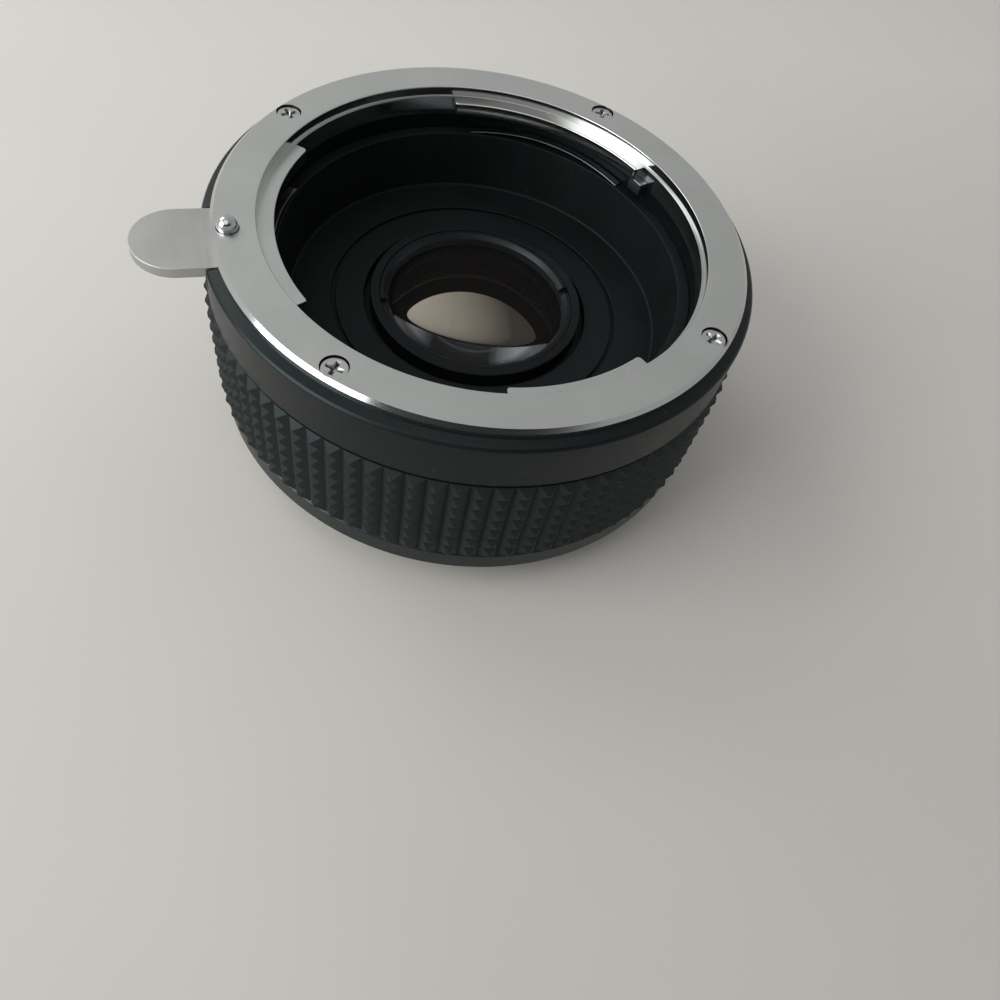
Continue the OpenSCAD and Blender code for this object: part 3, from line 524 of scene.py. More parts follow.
class Graph(Nodes):
    """Builder for the nodes of one material."""

    def __init__(self, name: str) -> None:
        """Starts an empty material with a shader and an output.

        Args:
            name: Name of the material.
        """
        self.material = bpy.data.materials.new(name)
        self.material.use_nodes = True
        super().__init__(self.material.node_tree)
        self.tree.nodes.clear()
        self.shader = self.add("ShaderNodeBsdfPrincipled")
        self.output = self.add("ShaderNodeOutputMaterial")
        self.finish(self.shader.outputs["BSDF"])
        self.coords = self.add("ShaderNodeTexCoord").outputs["Object"]

    def feed(self, socket: str, value: Socket | float | Colour) -> None:
        """Links or sets an input of the main shader."""
        self.set(self.shader, socket, value)

    def finish(self, shader: Socket) -> None:
        """Links a shader to the output."""
        self.tree.links.new(shader, self.output.inputs["Surface"])

    def shade_node(self, kind: str, colour: Socket | Colour, rough: float) -> Socket:
        """Adds a plain shader.

        Args:
            kind: Kind of its node.
            colour: Its colour.
            rough: Its roughness.

        Returns:
            The shader.
        """
        node = self.add(kind)
        self.set(node, "Color", colour)
        self.set(node, "Roughness", rough)
        return node.outputs["BSDF"]

    def mix_shaders(self, share: Socket | float, first: Socket, second: Socket) -> Socket:
        """Mixes two shaders.

        Args:
            share: Share of the second shader.
            first: Shader at a share of 0.
            second: Shader at a share of 1.

        Returns:
            The mix.
        """
        node = self.add("ShaderNodeMixShader")
        for k, value in enumerate((share, first, second)):
            self.set(node, k, value)
        return node.outputs["Shader"]

    def noise(self, pitch: float, detail: float = 3.0) -> Socket:
        """Makes cloudy noise.

        Args:
            pitch: Size of its patches in millimetres.
            detail: Octaves of finer noise in it.

        Returns:
            Values around 0.5.
        """
        node = self.add("ShaderNodeTexNoise")
        self.set(node, "Vector", self.coords)
        self.set(node, "Scale", 1 / (pitch * MM))
        self.set(node, "Detail", detail)
        return node.outputs["Fac"]

    def radius(self) -> Socket:
        """Gives the distance from the optical axis, in metres."""
        place = self.split(self.coords)
        return self.hypot(place["X"], place["Y"])

    def from_screws(self, ring_r: float) -> Socket:
        """Gives the distance from the nearest of the four screws.

        Args:
            ring_r: Radius of the ring of screws in millimetres.

        Returns:
            The distance in metres.
        """
        place = self.split(self.coords)
        side = ring_r * math.sqrt(0.5) * MM
        return self.hypot(*(self.math("SUBTRACT", self.math("ABSOLUTE", place[axis]), side) for axis in "XY"))

    def flatness(self) -> Socket:
        """Gives 1 on faces that look along the optical axis and 0 on faces that stand along it."""
        return self.math("ABSOLUTE", self.split(self.coords.node.outputs["Normal"])["Z"])

    def rings(self, pitch: float, detail: float = 2.0) -> Socket:
        """Makes turning marks around the optical axis.

        Args:
            pitch: Distance between the marks in millimetres.
            detail: Octaves of finer marks.

        Returns:
            Values around 0.5.
        """
        joined = self.add("ShaderNodeCombineXYZ")
        self.set(joined, "X", self.radius())
        self.set(joined, "Y", self.split(self.coords)["Z"])
        node = self.add("ShaderNodeTexNoise")
        node.noise_dimensions = "2D"
        self.set(node, "Vector", joined.outputs["Vector"])
        self.set(node, "Scale", 1 / (pitch * MM))
        self.set(node, "Detail", detail)
        return node.outputs["Fac"]

    def relief(self, height: Socket, depth: float) -> None:
        """Gives the main shader a bumpy surface.

        Args:
            height: Pattern of its heights.
            depth: Depth of the pattern in millimetres.
        """
        node = self.add("ShaderNodeBump")
        self.set(node, "Height", height)
        self.set(node, "Distance", depth * MM)
        self.set(node, "Strength", 1.0)
        self.feed("Normal", node.outputs["Normal"])


@dataclass(frozen=True)
class Metal:
    """Bare or plated metal with turning marks and an uneven polish."""

    name: str
    dull: Colour
    bright: Colour
    polished: float
    worn: float
    marks: float = 0.3
    depth: float = 0.002
    patch: float = 6.0
    sides: float = 1.0
    screws_at: float = 0.0
    hole_r: float = 1.6
    # Colour of the painted shade on upright faces in the screw holes and recesses.
    painted_hole_shade: Colour = (0.05, 0.05, 0.05)

    def material(self) -> bpy.types.Material:
        """Makes the material, with smoother chamfers by the share sides and with painted shade on the upright faces in
        the screw holes and the screws' recesses.

        Returns:
            The material.
        """
        graph = Graph(self.name)
        cloud = graph.noise(self.patch, 4.0)
        marks = graph.rings(self.marks)
        grain = graph.noise(self.marks / 2, 2.0)
        both = graph.math("MULTIPLY_ADD", marks, 0.8, graph.math("MULTIPLY", grain, 0.2))
        colour = graph.blend(graph.span(cloud, 0.35, 0.65), self.dull, self.bright)
        # Painted shade: upright faces near a screw's axis are darkened, standing in for the shade in the holes and
        # recesses.
        if self.screws_at > 0:
            upright = graph.span(graph.flatness(), 0.5, 0.9, 1.0, 0.0)
            inside = graph.span(graph.from_screws(self.screws_at), (self.hole_r - THIN) * MM, self.hole_r * MM, 1.0,
                                0.0)
            colour = graph.blend(graph.math("MULTIPLY", upright, inside), colour, self.painted_hole_shade)
        graph.feed("Base Color", colour)
        graph.feed("Metallic", 1.0)
        uneven = graph.math("MULTIPLY_ADD", both, 0.5, graph.math("MULTIPLY", cloud, 0.5))
        rough = graph.span(uneven, 0.36, 0.64, self.polished, self.worn)
        if self.sides < 1:
            rough = graph.math("MULTIPLY", rough, graph.span(graph.flatness(), 0.86, 0.97, self.sides, 1.0))
        graph.feed("Roughness", rough)
        graph.relief(both, self.depth)
        return graph.material


@dataclass(frozen=True)
class BlackCoat:
    """Black coating on metal, with a fine grain, handling marks, dust and walls that may be painted greyer than the
    flats as painted light.
    """

    name: str
    deep: Colour
    lifted: Colour
    smooth: float
    rough: float
    gloss: float = 0.5
    grain: float = 0.12
    depth: float = 0.003
    marks: float = 0.0
    dust: float = 0.0
    flat_gloss: float | None = None
    # Greyer colour painted on upright walls as painted light, or None to leave them like the flats.
    painted_wall_light: Colour | None = None
    sheen: Colour = (0.82, 1.0, 1.02)
    lint: Colour = (0.30, 0.29, 0.27)

    def material(self) -> bpy.types.Material:
        """Makes the material.

        Returns:
            The material.
        """
        graph = Graph(self.name)
        cloud = graph.noise(7.0, 5.0)
        grain = graph.noise(self.grain, 2.0)
        colour = graph.blend(graph.span(cloud, 0.35, 0.7), self.deep, self.lifted)
        if self.dust > 0:
            specks = graph.span(graph.noise(0.35, 1.0), 0.72, 0.8, 0.0, self.dust)
            colour = graph.blend(specks, colour, self.lint)
        # Painted light: upright walls get a greyer colour than the flats, standing in for light falling on them.
        if self.painted_wall_light is not None:
            colour = graph.blend(graph.span(graph.flatness(), 0.3, 0.7), self.painted_wall_light, colour)
        graph.feed("Base Color", colour)
        gloss: Socket | float = self.gloss
        if self.flat_gloss is not None:
            gloss = graph.span(graph.flatness(), 0.5, 0.9, self.gloss, self.flat_gloss)
        graph.feed("Specular IOR Level", gloss)
        graph.feed("Specular Tint", self.sheen)
        uneven = graph.math("MULTIPLY_ADD", cloud, 0.6, graph.math("MULTIPLY", grain, 0.4))
        graph.feed("Roughness", graph.span(uneven, 0.36, 0.64, self.smooth, self.rough))
        height = grain if self.marks <= 0 else graph.math("MULTIPLY_ADD", graph.rings(self.marks), 2.0, grain)
        graph.relief(height, self.depth)
        return graph.material


@dataclass(frozen=True)
class CoatedGlass:
    """Optical glass with a faint film on its outer face, a blackened edge and a few specks of dust."""

    name: str
    tint: Colour
    index: float
    edge_r: float
    veil: float = 0.0
    veil_z: Point = (0.0, 0.0)
    film: Colour = (0.55, 0.51, 0.49)
    speck: Colour = (0.75, 0.74, 0.72)
    dust: float = 0.25
    mirror: Colour = (0.96, 0.98, 1.0)
    # Painted reflection: strength, direction, shift, widths across, weak share and rim of a pale patch where the glass
    # reflects totally.
    painted_glint: float = 0.0
    glint_az: float = 250.0
    glint_shift: float = 0.9
    glint_across: Point = (3.4, 6.8)
    glint_weak: float = 0.02
    glint_rim: Point = (8.3, 9.3)

    def material(self) -> bpy.types.Material:
        """Makes the material, with the film rising between two heights and a pale painted reflection where the glass
        reflects totally.

        Returns:
            The material.
        """
        graph = Graph(self.name)
        graph.feed("Base Color", graph.blend(graph.noise(0.5), (0.003, 0.003, 0.003), (0.006, 0.006, 0.006)))
        graph.feed("Roughness", 0.6)
        graph.feed("Specular IOR Level", 0.1)
        specks = graph.span(graph.noise(0.5, 0.0), 0.80, 0.84, 0.0, self.dust)
        clear = graph.shade_node("ShaderNodeBsdfRefraction", graph.blend(specks, self.tint, self.speck), 0.0)
        graph.set(clear.node, "IOR", self.index)
        coated = clear
        if self.veil > 0:
            low, high = self.veil_z
            outer = graph.span(graph.split(graph.coords)["Z"], low * MM, high * MM, 0.0, self.veil)
            coated = graph.mix_shaders(outer, clear, graph.shade_node("ShaderNodeBsdfDiffuse", self.film, 0.0))
        inside = graph.shade_node("ShaderNodeBsdfGlossy", self.mirror, 0.0)
        # Painted reflection: a pale bluish diffuse, strongest at both sides of a fixed direction, stands in for bright
        # reflections where the glass reflects totally.
        if self.painted_glint > 0:
            glint_colour = graph.blend(graph.noise(0.3), (0.66, 0.74, 0.84), (0.76, 0.84, 0.94))
            glint_shader = graph.shade_node("ShaderNodeBsdfDiffuse", glint_colour, 0.0)
            inside = graph.mix_shaders(self.glint_share(graph), inside, glint_shader)
        steep = graph.add("ShaderNodeFresnel")
        graph.set(steep, "IOR", self.index)
        coated = graph.mix_shaders(graph.span(steep.outputs["Fac"], 0.5, 0.98), coated, inside)
        edge = graph.span(graph.radius(), (self.edge_r - THIN) * MM, self.edge_r * MM)
        graph.finish(graph.mix_shaders(edge, coated, graph.shader.outputs["BSDF"]))
        return graph.material

    def glint_share(self, graph: Graph) -> Socket:
        """Gives the share of the painted reflection, strong at both sides of its direction, weak between them and none
        at the rim.

        Args:
            graph: Material to add to.

        Returns:
            The share.
        """
        place = graph.split(graph.coords)
        turn = math.radians(self.glint_az)
        across = graph.math("ADD", graph.math("MULTIPLY", place["X"], -math.sin(turn)),
                            graph.math("MULTIPLY", place["Y"], math.cos(turn)))
        apart = graph.math("ABSOLUTE", graph.math("ADD", across, self.glint_shift * MM))
        first, last = self.glint_across
        sides = graph.span(apart, first * MM, last * MM, self.glint_weak * self.painted_glint, self.painted_glint)
        first, last = self.glint_rim
        return graph.math("MULTIPLY", sides, graph.span(graph.radius(), first * MM, last * MM, 1.0, 0.0))


@dataclass(frozen=True)
class Enamel:
    """Glossy paint that fills a small recess."""

    name: str
    low: Colour
    high: Colour

    def material(self) -> bpy.types.Material:
        """Makes the material.

        Returns:
            The material.
        """
        graph = Graph(self.name)
        graph.feed("Base Color", graph.blend(graph.span(graph.noise(0.4), 0.4, 0.6), self.low, self.high))
        graph.feed("Roughness", graph.span(graph.noise(0.2), 0.4, 0.6, 0.18, 0.3))
        graph.feed("Coat Weight", 0.4)
        graph.relief(graph.noise(0.5, 1.0), 0.004)
        return graph.material


# Finishes with screws_at carry painted shade in the screw holes and the screws' recesses.
FLANGE_CHROME = Metal("satin_chrome", (0.575, 0.59, 0.575), (0.605, 0.62, 0.605), 0.29, 0.34, marks=0.6, depth=0.00005,
                      sides=0.42, screws_at=28.2)
REAR_CHROME = replace(FLANGE_CHROME, name="rear_chrome", screws_at=26.1)
TAB_NICKEL = Metal("tab_nickel", (0.455, 0.46, 0.44), (0.49, 0.495, 0.475), 0.40, 0.48, marks=0.25, depth=0.0006)
PIN_STEEL = Metal("pin_steel", (0.50, 0.51, 0.52), (0.60, 0.61, 0.62), 0.08, 0.16, marks=0.15, depth=0.001)
SCREW_NICKEL = Metal("screw_nickel", (0.55, 0.57, 0.55), (0.61, 0.63, 0.61), 0.26, 0.36, marks=0.12, depth=0.0004,
                     patch=1.5, screws_at=28.2, painted_hole_shade=(0.09, 0.095, 0.095))
REAR_SCREW = replace(SCREW_NICKEL, name="rear_screw_nickel", screws_at=26.1)
SPRING_STEEL = Metal("spring_steel", (0.42, 0.43, 0.44), (0.52, 0.53, 0.54), 0.24, 0.38, marks=0.2)
LEAF_STEEL = Metal("leaf_steel", (0.16, 0.17, 0.18), (0.24, 0.25, 0.27), 0.22, 0.36, marks=0.2)
PLAIN_BRASS = Metal("plain_brass", (0.55, 0.40, 0.16), (0.70, 0.52, 0.24), 0.2, 0.36, marks=0.2, patch=2.0)
BARREL_BLACK = BlackCoat("barrel_black", (0.0024, 0.0034, 0.0036), (0.0036, 0.0048, 0.0050), 0.32, 0.42, gloss=0.26,
                         dust=0.15)
GRIP_BLACK = BlackCoat("grip_black", (0.0068, 0.0092, 0.0096), (0.0100, 0.0132, 0.0134), 0.48, 0.58, gloss=0.30,
                       dust=0.15)
COVER_BLACK = replace(BARREL_BLACK, name="cover_black", gloss=0.45)
WELL_BLACK = BlackCoat("well_black", (0.0052, 0.0058, 0.0062), (0.0070, 0.0077, 0.0082), 0.48, 0.6, gloss=0.16,
                       marks=0.35, dust=0.08)
TUBE_BLACK = BlackCoat("tube_black", (0.0040, 0.0046, 0.0054), (0.0060, 0.0067, 0.0077), 0.40, 0.52, gloss=0.15,
                       marks=0.25)
# The ring's greyer inner walls are painted light.
RING_BLACK = BlackCoat("ring_black", (0.006, 0.0062, 0.0066), (0.010, 0.010, 0.0105), 0.34, 0.44, gloss=0.5, marks=0.2,
                       flat_gloss=0.12, painted_wall_light=(0.011, 0.012, 0.0125))
LENS_BLACK = BlackCoat("lens_black", (0.0014, 0.0014, 0.0014), (0.0022, 0.0021, 0.0020), 0.6, 0.7, gloss=0.04,
                       depth=0.0004)
PAIR_GLASS = CoatedGlass("pair_glass", (0.98, 0.97, 0.95), 1.62, 11.85)
# The front element carries the painted reflection.
FRONT_GLASS = replace(PAIR_GLASS, name="front_glass", veil=0.016, veil_z=(11.0, 11.1), painted_glint=0.95)
REAR_GLASS = replace(PAIR_GLASS, name="rear_glass", edge_r=10.85, veil=0.016, veil_z=(0.6, 0.5))
INDEX_RED = Enamel("index_enamel", (0.42, 0.012, 0.010), (0.55, 0.022, 0.016))


# Sub-assemblies


@dataclass(frozen=True)
class Screw:
    """Countersunk cross-head screw, drawn with its face at height 0 and its shank along -Z."""

    head_d: float = 2.75
    head_h: float = 0.85
    head_rim: float = 0.2
    sink: float = 0.22
    shank_d: float = 1.6
    length: float = 4.4
    recess_w: float = 0.42
    recess_l: float = 1.8
    recess_depth: float = 0.4
    recess_heel: float = 0.12
    play: float = 0.07

    def cross(self, grow: float) -> list[Point]:
        """Gives the outline of the recess.

        Args:
            grow: Distance by which it is grown all round.

        Returns:
            Its points in order.
        """
        a, b = self.recess_l / 2 + grow, self.recess_w / 2 + grow
        c = b + self.recess_heel
        quarter = [(a, -b), (a, b), (c, b), (b, c)]
        points: list[Point] = []
        for turn in range(4):
            for x, y in quarter:
                for _ in range(turn):
                    x, y = -y, x
                points.append((x, y))
        return points

    def build(self) -> Piece:
        """Builds one screw.

        Returns:
            The screw.
        """
        r, top = self.head_d / 2, -self.sink
        outline = rounded([(0, top, 0), (r, top, 0.1), (r, top - self.head_rim, 0.03),
                           (self.shank_d / 2, -self.sink - self.head_h, 0.02), (self.shank_d / 2, -self.length, 0.1),
                           (0, -self.length, 0)])
        recess = [(top - self.recess_depth, self.cross(0.02 - self.recess_w / 2)), (top - 0.05, self.cross(0.0)),
                  (top + 0.3, self.cross(0.35))]
        return carve(spindle("screw", outline, 64), [prism("recess", recess)])

    def hole(self) -> Piece:
        """Builds the cutter for its countersunk hole.

        Returns:
            The cutter.
        """
        r, shank = self.head_d / 2 + self.play, self.shank_d / 2 + self.play
        low = -self.sink - self.head_rim - self.play
        outline = [(0, 0.4), (r, 0.4), (r, low),
                   (shank, -self.sink - self.head_h - self.play), (shank, -self.length - self.play),
                   (0, -self.length - self.play)]
        return spindle("hole", outline, 64)

    def ring(self, name: str, r: float, spots: list[tuple[float, float]], move: Matrix) -> Piece:
        """Sets screws around the axis.

        Args:
            name: Name of the piece.
            r: Radius of the ring of screws.
            spots: Direction of each screw and turn of its recess.
            move: Last move, from the screw's own face to the mount's.

        Returns:
            One piece with all the screws.
        """
        return join(name, [place(self.build(), spot) for spot in self.spots(r, spots, move)])

    def holes(self, r: float, spots: list[tuple[float, float]], move: Matrix) -> list[Piece]:
        """Sets the cutters for a ring of screws."""
        return [place(self.hole(), spot) for spot in self.spots(r, spots, move)]

    def spots(self, r: float, spots: list[tuple[float, float]], move: Matrix) -> list[Matrix]:
        """Gives the moves from one screw to each of a ring."""
        return [Matrix.Rotation(math.radians(az), 4, "Z") @ Matrix.Translation((r * MM, 0, 0)) @ move
                @ Matrix.Rotation(math.radians(turn), 4, "Z") for az, turn in spots]


SCREW_SPOTS = [(45.0, 28.0), (135.0, 62.0), (-135.0, 10.0), (-45.0, 75.0)]
LOBES = [(24.0, 87.0), (142.0, 205.0), (261.0, 298.6)]
LUGS = [(34.0, 85.0), (151.0, 203.0), (263.0, 296.6)]
FAR_APART = 0.8
MOUNT_SCREW = Screw()


def stepped(sectors: list[tuple[float, float]], r: float, fillet: float) -> list[tuple[float, float]]:
    """Lists the directions and shares at which sectors stand out of a ring, with rounded ends.

    Args:
        sectors: First and last direction of each sector.
        r: Radius at which the rounding is measured.
        fillet: Rounding of the sectors' ends as a share of their reach, and their length in millimetres.

    Returns:
        Direction and share from 0 to 1, in order around the axis.
    """
    steps: list[tuple[float, float]] = []
    ease = math.degrees(fillet / r)
    for index, (start, end) in enumerate(sectors):
        following = sectors[(index + 1) % len(sectors)][0] + (TURN if index == len(sectors) - 1 else 0.0)
        steps.append((start, 0.0))
        for k in range(6):
            a = math.pi / 2 * k / 5
            steps.append((start + ease * (1 - math.cos(a)), 1 - 0.25 * (1 - math.sin(a))))
        count = max(2, round((end - start - 2 * ease)))
        steps += [(start + ease + (end - start - 2 * ease) * k / count, 1.0) for k in range(1, count)]
        for k in range(6):
            a = math.pi / 2 * (5 - k) / 5
            steps.append((end - ease * (1 - math.cos(a)), 1 - 0.25 * (1 - math.sin(a))))
        steps.append((end, 0.0))
        count = max(2, round(following - end))
        steps += [(end + (following - end) * k / count, 0.0) for k in range(1, count)]
    return steps


def around(steps: list[tuple[float, float]], outline: Callable[[float], list[Point]]) -> list[Ring]:
    """Sets outlines at directions around the axis, with one more between those that are far apart.

    Args:
        steps: Direction and share of each outline, in order around the axis.
        outline: Gives the outline for a share.

    Returns:
        Direction and outline of each ring.
    """
    rings: list[Ring] = []
    for (az, share), (following, _) in zip(steps, steps[1:] + [(steps[0][0] + TURN, 0.0)]):
        rings.append((az, outline(share)))
        if following - az > FAR_APART:
            rings.append(((az + following) / 2, outline(share)))
    return rings


@dataclass(frozen=True)
class LensMount:
    """Bright lens-side bayonet with its flange, throat, lobes, skirt and screws."""

    z: float = 25.3
    flange_r: float = 30.0
    flange_t: float = 1.1
    edge: float = 0.4
    throat_r: float = 25.3
    gap_r: float = 24.95
    lobe_r: float = 23.5
    lobe_depth: float = 1.2
    lobe_t: float = 1.5
    skirt_r: float = 26.3
    skirt_depth: float = 3.4
    screw_r: float = 28.2
    pin_hole_r: float = 1.175

    def outline(self, share: float) -> list[Point]:
        """Gives the section of the mount.

        Args:
            share: Share of their reach by which the lobes stand out.

        Returns:
            Its points in order.
        """
        top, low = self.z - self.lobe_depth, self.z - self.lobe_depth - self.lobe_t
        seat, skirt = self.z - self.flange_t, self.z - self.skirt_depth
        full = rounded([(self.throat_r, self.z, 0.12), (self.flange_r - self.edge, self.z, 0),
                        (self.flange_r, self.z - self.edge, 0), (self.flange_r, seat, 0.05), (self.skirt_r, seat, 0),
                        (self.skirt_r, skirt, 0),
                        (self.gap_r, skirt, 0.05), (self.gap_r, low, 0), (self.lobe_r, low, 0.12),
                        (self.lobe_r, top, 0.12), (self.gap_r, top, 0), (self.throat_r, top, 0.04)], steps=5)
        return [(self.gap_r - share * (self.gap_r - r), z) if r < self.gap_r else (r, z) for r, z in full]

    def build(self) -> None:
        """Builds the flange and its screws."""
        flange = revolve("lens_mount_flange", around(stepped(LOBES, self.lobe_r, 0.3), self.outline))
        raise_face = Matrix.Translation((0, 0, self.z * MM))
        pin = spindle("pin_hole", [(0, self.z + 0.4), (self.pin_hole_r + 0.45, self.z + 0.4),
                                   (self.pin_hole_r, self.z - 0.05),
                                   (self.pin_hole_r, self.z - 1.6), (0, self.z - 1.6)], 64)
        place(pin, Matrix.Translation((-self.screw_r * MM, 0, 0)))
        carve(flange, [*MOUNT_SCREW.holes(self.screw_r, SCREW_SPOTS, raise_face), pin])
        settle(flange, Body.BODY, Slot.CHROME, FLANGE_CHROME.material(), "front_mount")
        screws = MOUNT_SCREW.ring("lens_mount_screws", self.screw_r, SCREW_SPOTS, raise_face)
        settle(screws, Body.BODY, Slot.SCREW, SCREW_NICKEL.material(), "front_mount_screws")


@dataclass(frozen=True)
class LensLock:
    """Lock pin, release tab and their spring."""

    r: float = 28.2
    pin_d: float = 2.25
    pin_top: float = 26.6
    tail_d: float = 1.1
    tail_z: float = 20.5
    tab_w: float = 9.2
    tab_low: float = 22.95
    tab_top: float = 24.15
    tab_tip: float = 38.1
    tab_tail: float = 26.9
    tab_edge: float = 0.08
    seat_z: float = 18.7
    coil_r: float = 1.24
    coil_wire: float = 0.32
    coil_turns: int = 5
    travel: float = 1.6

    def build(self) -> None:
        """Builds the pin, the tab and the spring."""
        move = Matrix.Translation((-self.r * MM, 0, 0))
        dome = self.pin_d / 2
        arc = [(dome * math.sin(a), self.pin_top - dome + dome * math.cos(a))
               for a in (math.pi / 2 * k / 14 for k in range(1, 15))]
        tail = self.tail_d / 2
        pin = spindle("lock_pin_round", [(0, self.pin_top), *arc, (dome, self.tab_low), (tail, self.tab_low),
                                         (tail, self.tail_z), (0, self.tail_z)], 64)
        settle(place(pin, move), Body.RELEASE, Slot.STEEL, PIN_STEEL.material(), "lock_pin")
        settle(self.tab(), Body.RELEASE, Slot.STEEL, TAB_NICKEL.material(), "release_lever")
        length = self.tab_low - self.seat_z
        pitch = (length - self.coil_wire - 0.1) / self.coil_turns
        steps = 24
        path: list[Vector] = []
        for k in range(self.coil_turns * steps + 1):
            a = math.tau * k / steps
            path.append(Vector((-self.r + self.coil_r * math.cos(a), self.coil_r * math.sin(a),
                                self.seat_z + self.coil_wire / 2 + 0.05 + pitch * k / steps)))
        spring = wire("lock_pin_spring", path, self.coil_wire)
        settle(spring, Body.BODY, Slot.STEEL, SPRING_STEEL.material(), "lock_spring")
        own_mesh(spring)

    def tab(self) -> Piece:
        """Builds the release tab with its rounded end and soft edges.

        Returns:
            The tab.
        """
        half = self.tab_w / 2
        end = self.tab_tip - half
        outline = [(-self.tab_tail, half)]
        outline += [(-end - half * math.sin(a), half * math.cos(a)) for a in (math.pi * k / 48 for k in range(49))]
        outline.append((-self.tab_tail, -half))
        tab = soften(prism("release_tab", [(self.tab_low, outline), (self.tab_top, outline)]), self.tab_edge, 4)
        hole = spindle("hole", [(0, self.tab_top + 0.3), (self.pin_d / 2 + 0.05, self.tab_top + 0.3),
                                (self.pin_d / 2 + 0.05, self.tab_low - 0.3), (0, self.tab_low - 0.3)], 64)
        return carve(tab, [place(hole, Matrix.Translation((-self.r * MM, 0, 0)))])


@dataclass(frozen=True)
class BayonetSprings:
    """Stop block and leaf springs under the lobes."""

    stop_from: float = 21.0
    stop_to: float = 26.0
    stop_in: float = 23.8
    stop_out: float = 24.9
    stop_low: float = 21.0
    stop_top: float = 22.6
    ledge_z: float = 20.0
    leaf_in: float = 23.7
    leaf_out: float = 24.7
    leaf_t: float = 0.2
    leaf_bow: float = 0.7
    leaf_inset: float = 6.0

    def build(self) -> None:
        """Builds the stop and the three springs."""
        steps = 10
        section = [(self.stop_in, self.stop_low), (self.stop_out, self.stop_low), (self.stop_out, self.stop_top),
                   (self.stop_in, self.stop_top)]
        rings = [(self.stop_from + (self.stop_to - self.stop_from) * k / steps, section) for k in range(steps + 1)]
        stop = soften(revolve("lens_stop", rings, closed=False), 0.12)
        settle(stop, Body.BODY, Slot.STEEL, LEAF_STEEL.material(), "bayonet_stop")
        steel = LEAF_STEEL.material()
        for number, (start, end) in enumerate(LOBES, 1):
            settle(self.leaf(f"leaf_spring_{number}", start + self.leaf_inset, end - self.leaf_inset), Body.BODY,
                   Slot.STEEL, steel, f"bayonet_spring_{number}")

    def leaf(self, name: str, start: float, end: float) -> Piece:
        """Builds a bowed leaf spring.

        Args:
            name: Name of the piece.
            start: Direction of its first end.
            end: Direction of its last end.

        Returns:
            The spring.
        """
        steps = 48
        rings = []
        for k in range(steps + 1):
            low = self.ledge_z + self.leaf_bow * math.sin(math.pi * k / steps)
            high = low + self.leaf_t
            rings.append((start + (end - start) * k / steps,
                          rounded([(self.leaf_in, low, 0.06), (self.leaf_out, low, 0.06), (self.leaf_out, high, 0.06),
                                   (self.leaf_in, high, 0.06)], 3)))
        return revolve(name, rings, closed=False)


@dataclass(frozen=True)
class Barrel:
    """Black barrel with its smooth band, the slot for the tab and the index bead."""

    band_r: float = 31.2
    band_top: float = 23.9
    band_low: float = 17.8
    chamfer: float = 0.25
    seat_z: float = 24.2
    seat_r: float = 30.0
    groove_r: float = 30.4
    grip_top: float = 17.45
    sleeve_r: float = 29.4
    cavity_r: float = 28.0
    sleeve_low: float = 2.6
    shelf_z: float = 18.0
    gap_r: float = 24.95
    bore_r: float = 26.35
    bore_z: float = 21.85
    pocket_in: float = 26.7
    pocket_out: float = 38.3
    pocket_w: float = 9.6
    pocket_z: float = 21.15
    spring_hole_r: float = 1.5
    bead_az: float = 90.0
    bead_d: float = 1.8
    bead_rise: float = 0.2
    bead_depth: float = 0.8

    def build(self) -> None:
        """Builds the barrel and the bead."""
        soft = 0.12
        barrel = lathe("barrel_band", [
            (self.bore_r, self.seat_z, 0), (self.seat_r, self.seat_z, soft),
            (self.band_r - self.chamfer, self.band_top, 0.25), (self.band_r, self.band_top - self.chamfer, 0.25),
            (self.band_r, self.band_low + self.chamfer, soft), (self.band_r - self.chamfer, self.band_low, soft),
            (self.groove_r, self.band_low, 0.04), (self.groove_r, self.grip_top, 0), (self.sleeve_r, self.grip_top, 0),
            (self.sleeve_r, self.sleeve_low, 0), (self.cavity_r, self.sleeve_low, 0), (self.cavity_r, self.shelf_z, 0),
            (self.gap_r, self.shelf_z, 0), (self.gap_r, self.bore_z, 0), (self.bore_r, self.bore_z, 0)])
        half = self.pocket_w / 2
        box = [(-self.pocket_out, -half), (-self.pocket_in, -half), (-self.pocket_in, half), (-self.pocket_out, half)]
        pocket = soften(prism("pocket", [(self.pocket_z, box), (self.seat_z + 2, box)]), 0.3)
        lock = LensLock()
        well = spindle("spring_hole", [(0, self.pocket_z + 0.5), (self.spring_hole_r, self.pocket_z + 0.5),
                                       (self.spring_hole_r, lock.seat_z), (0, lock.seat_z)], 48)
        place(well, Matrix.Translation((-lock.r * MM, 0, 0)))
        middle = (self.band_top + self.band_low) / 2
        outward = Matrix.Rotation(math.radians(self.bead_az), 4, "Z") @ Matrix.Translation((0, 0, middle * MM)) \
            @ Matrix.Rotation(math.pi / 2, 4, "Y")
        r = self.bead_d / 2
        floor, seat_r = self.band_r - self.bead_depth, r + 0.05
        seat = spindle("bead_seat", [(0, floor), (seat_r, floor), (seat_r, self.band_r + 1), (0, self.band_r + 1)], 48)
        place(seat, outward)
        face = Matrix.Translation((0, 0, LensMount().z * MM))
        carve(barrel, [pocket, well, seat, *MOUNT_SCREW.holes(LensMount().screw_r, SCREW_SPOTS, face)])
        settle(barrel, Body.BODY, Slot.BARREL, BARREL_BLACK.material(), "main_barrel")
        top = self.band_r + self.bead_rise
        dome = [(self.bead_d * math.sin(a), top - self.bead_d + self.bead_d * math.cos(a))
                for a in (math.asin(0.5) * k / 8 for k in range(1, 9))]
        bead = spindle("index_dot", [(0, top), *dome, (r, floor), (0, floor)], 48)
        settle(place(bead, outward), Body.BODY, Slot.INDEX, INDEX_RED.material(), "index_bead")


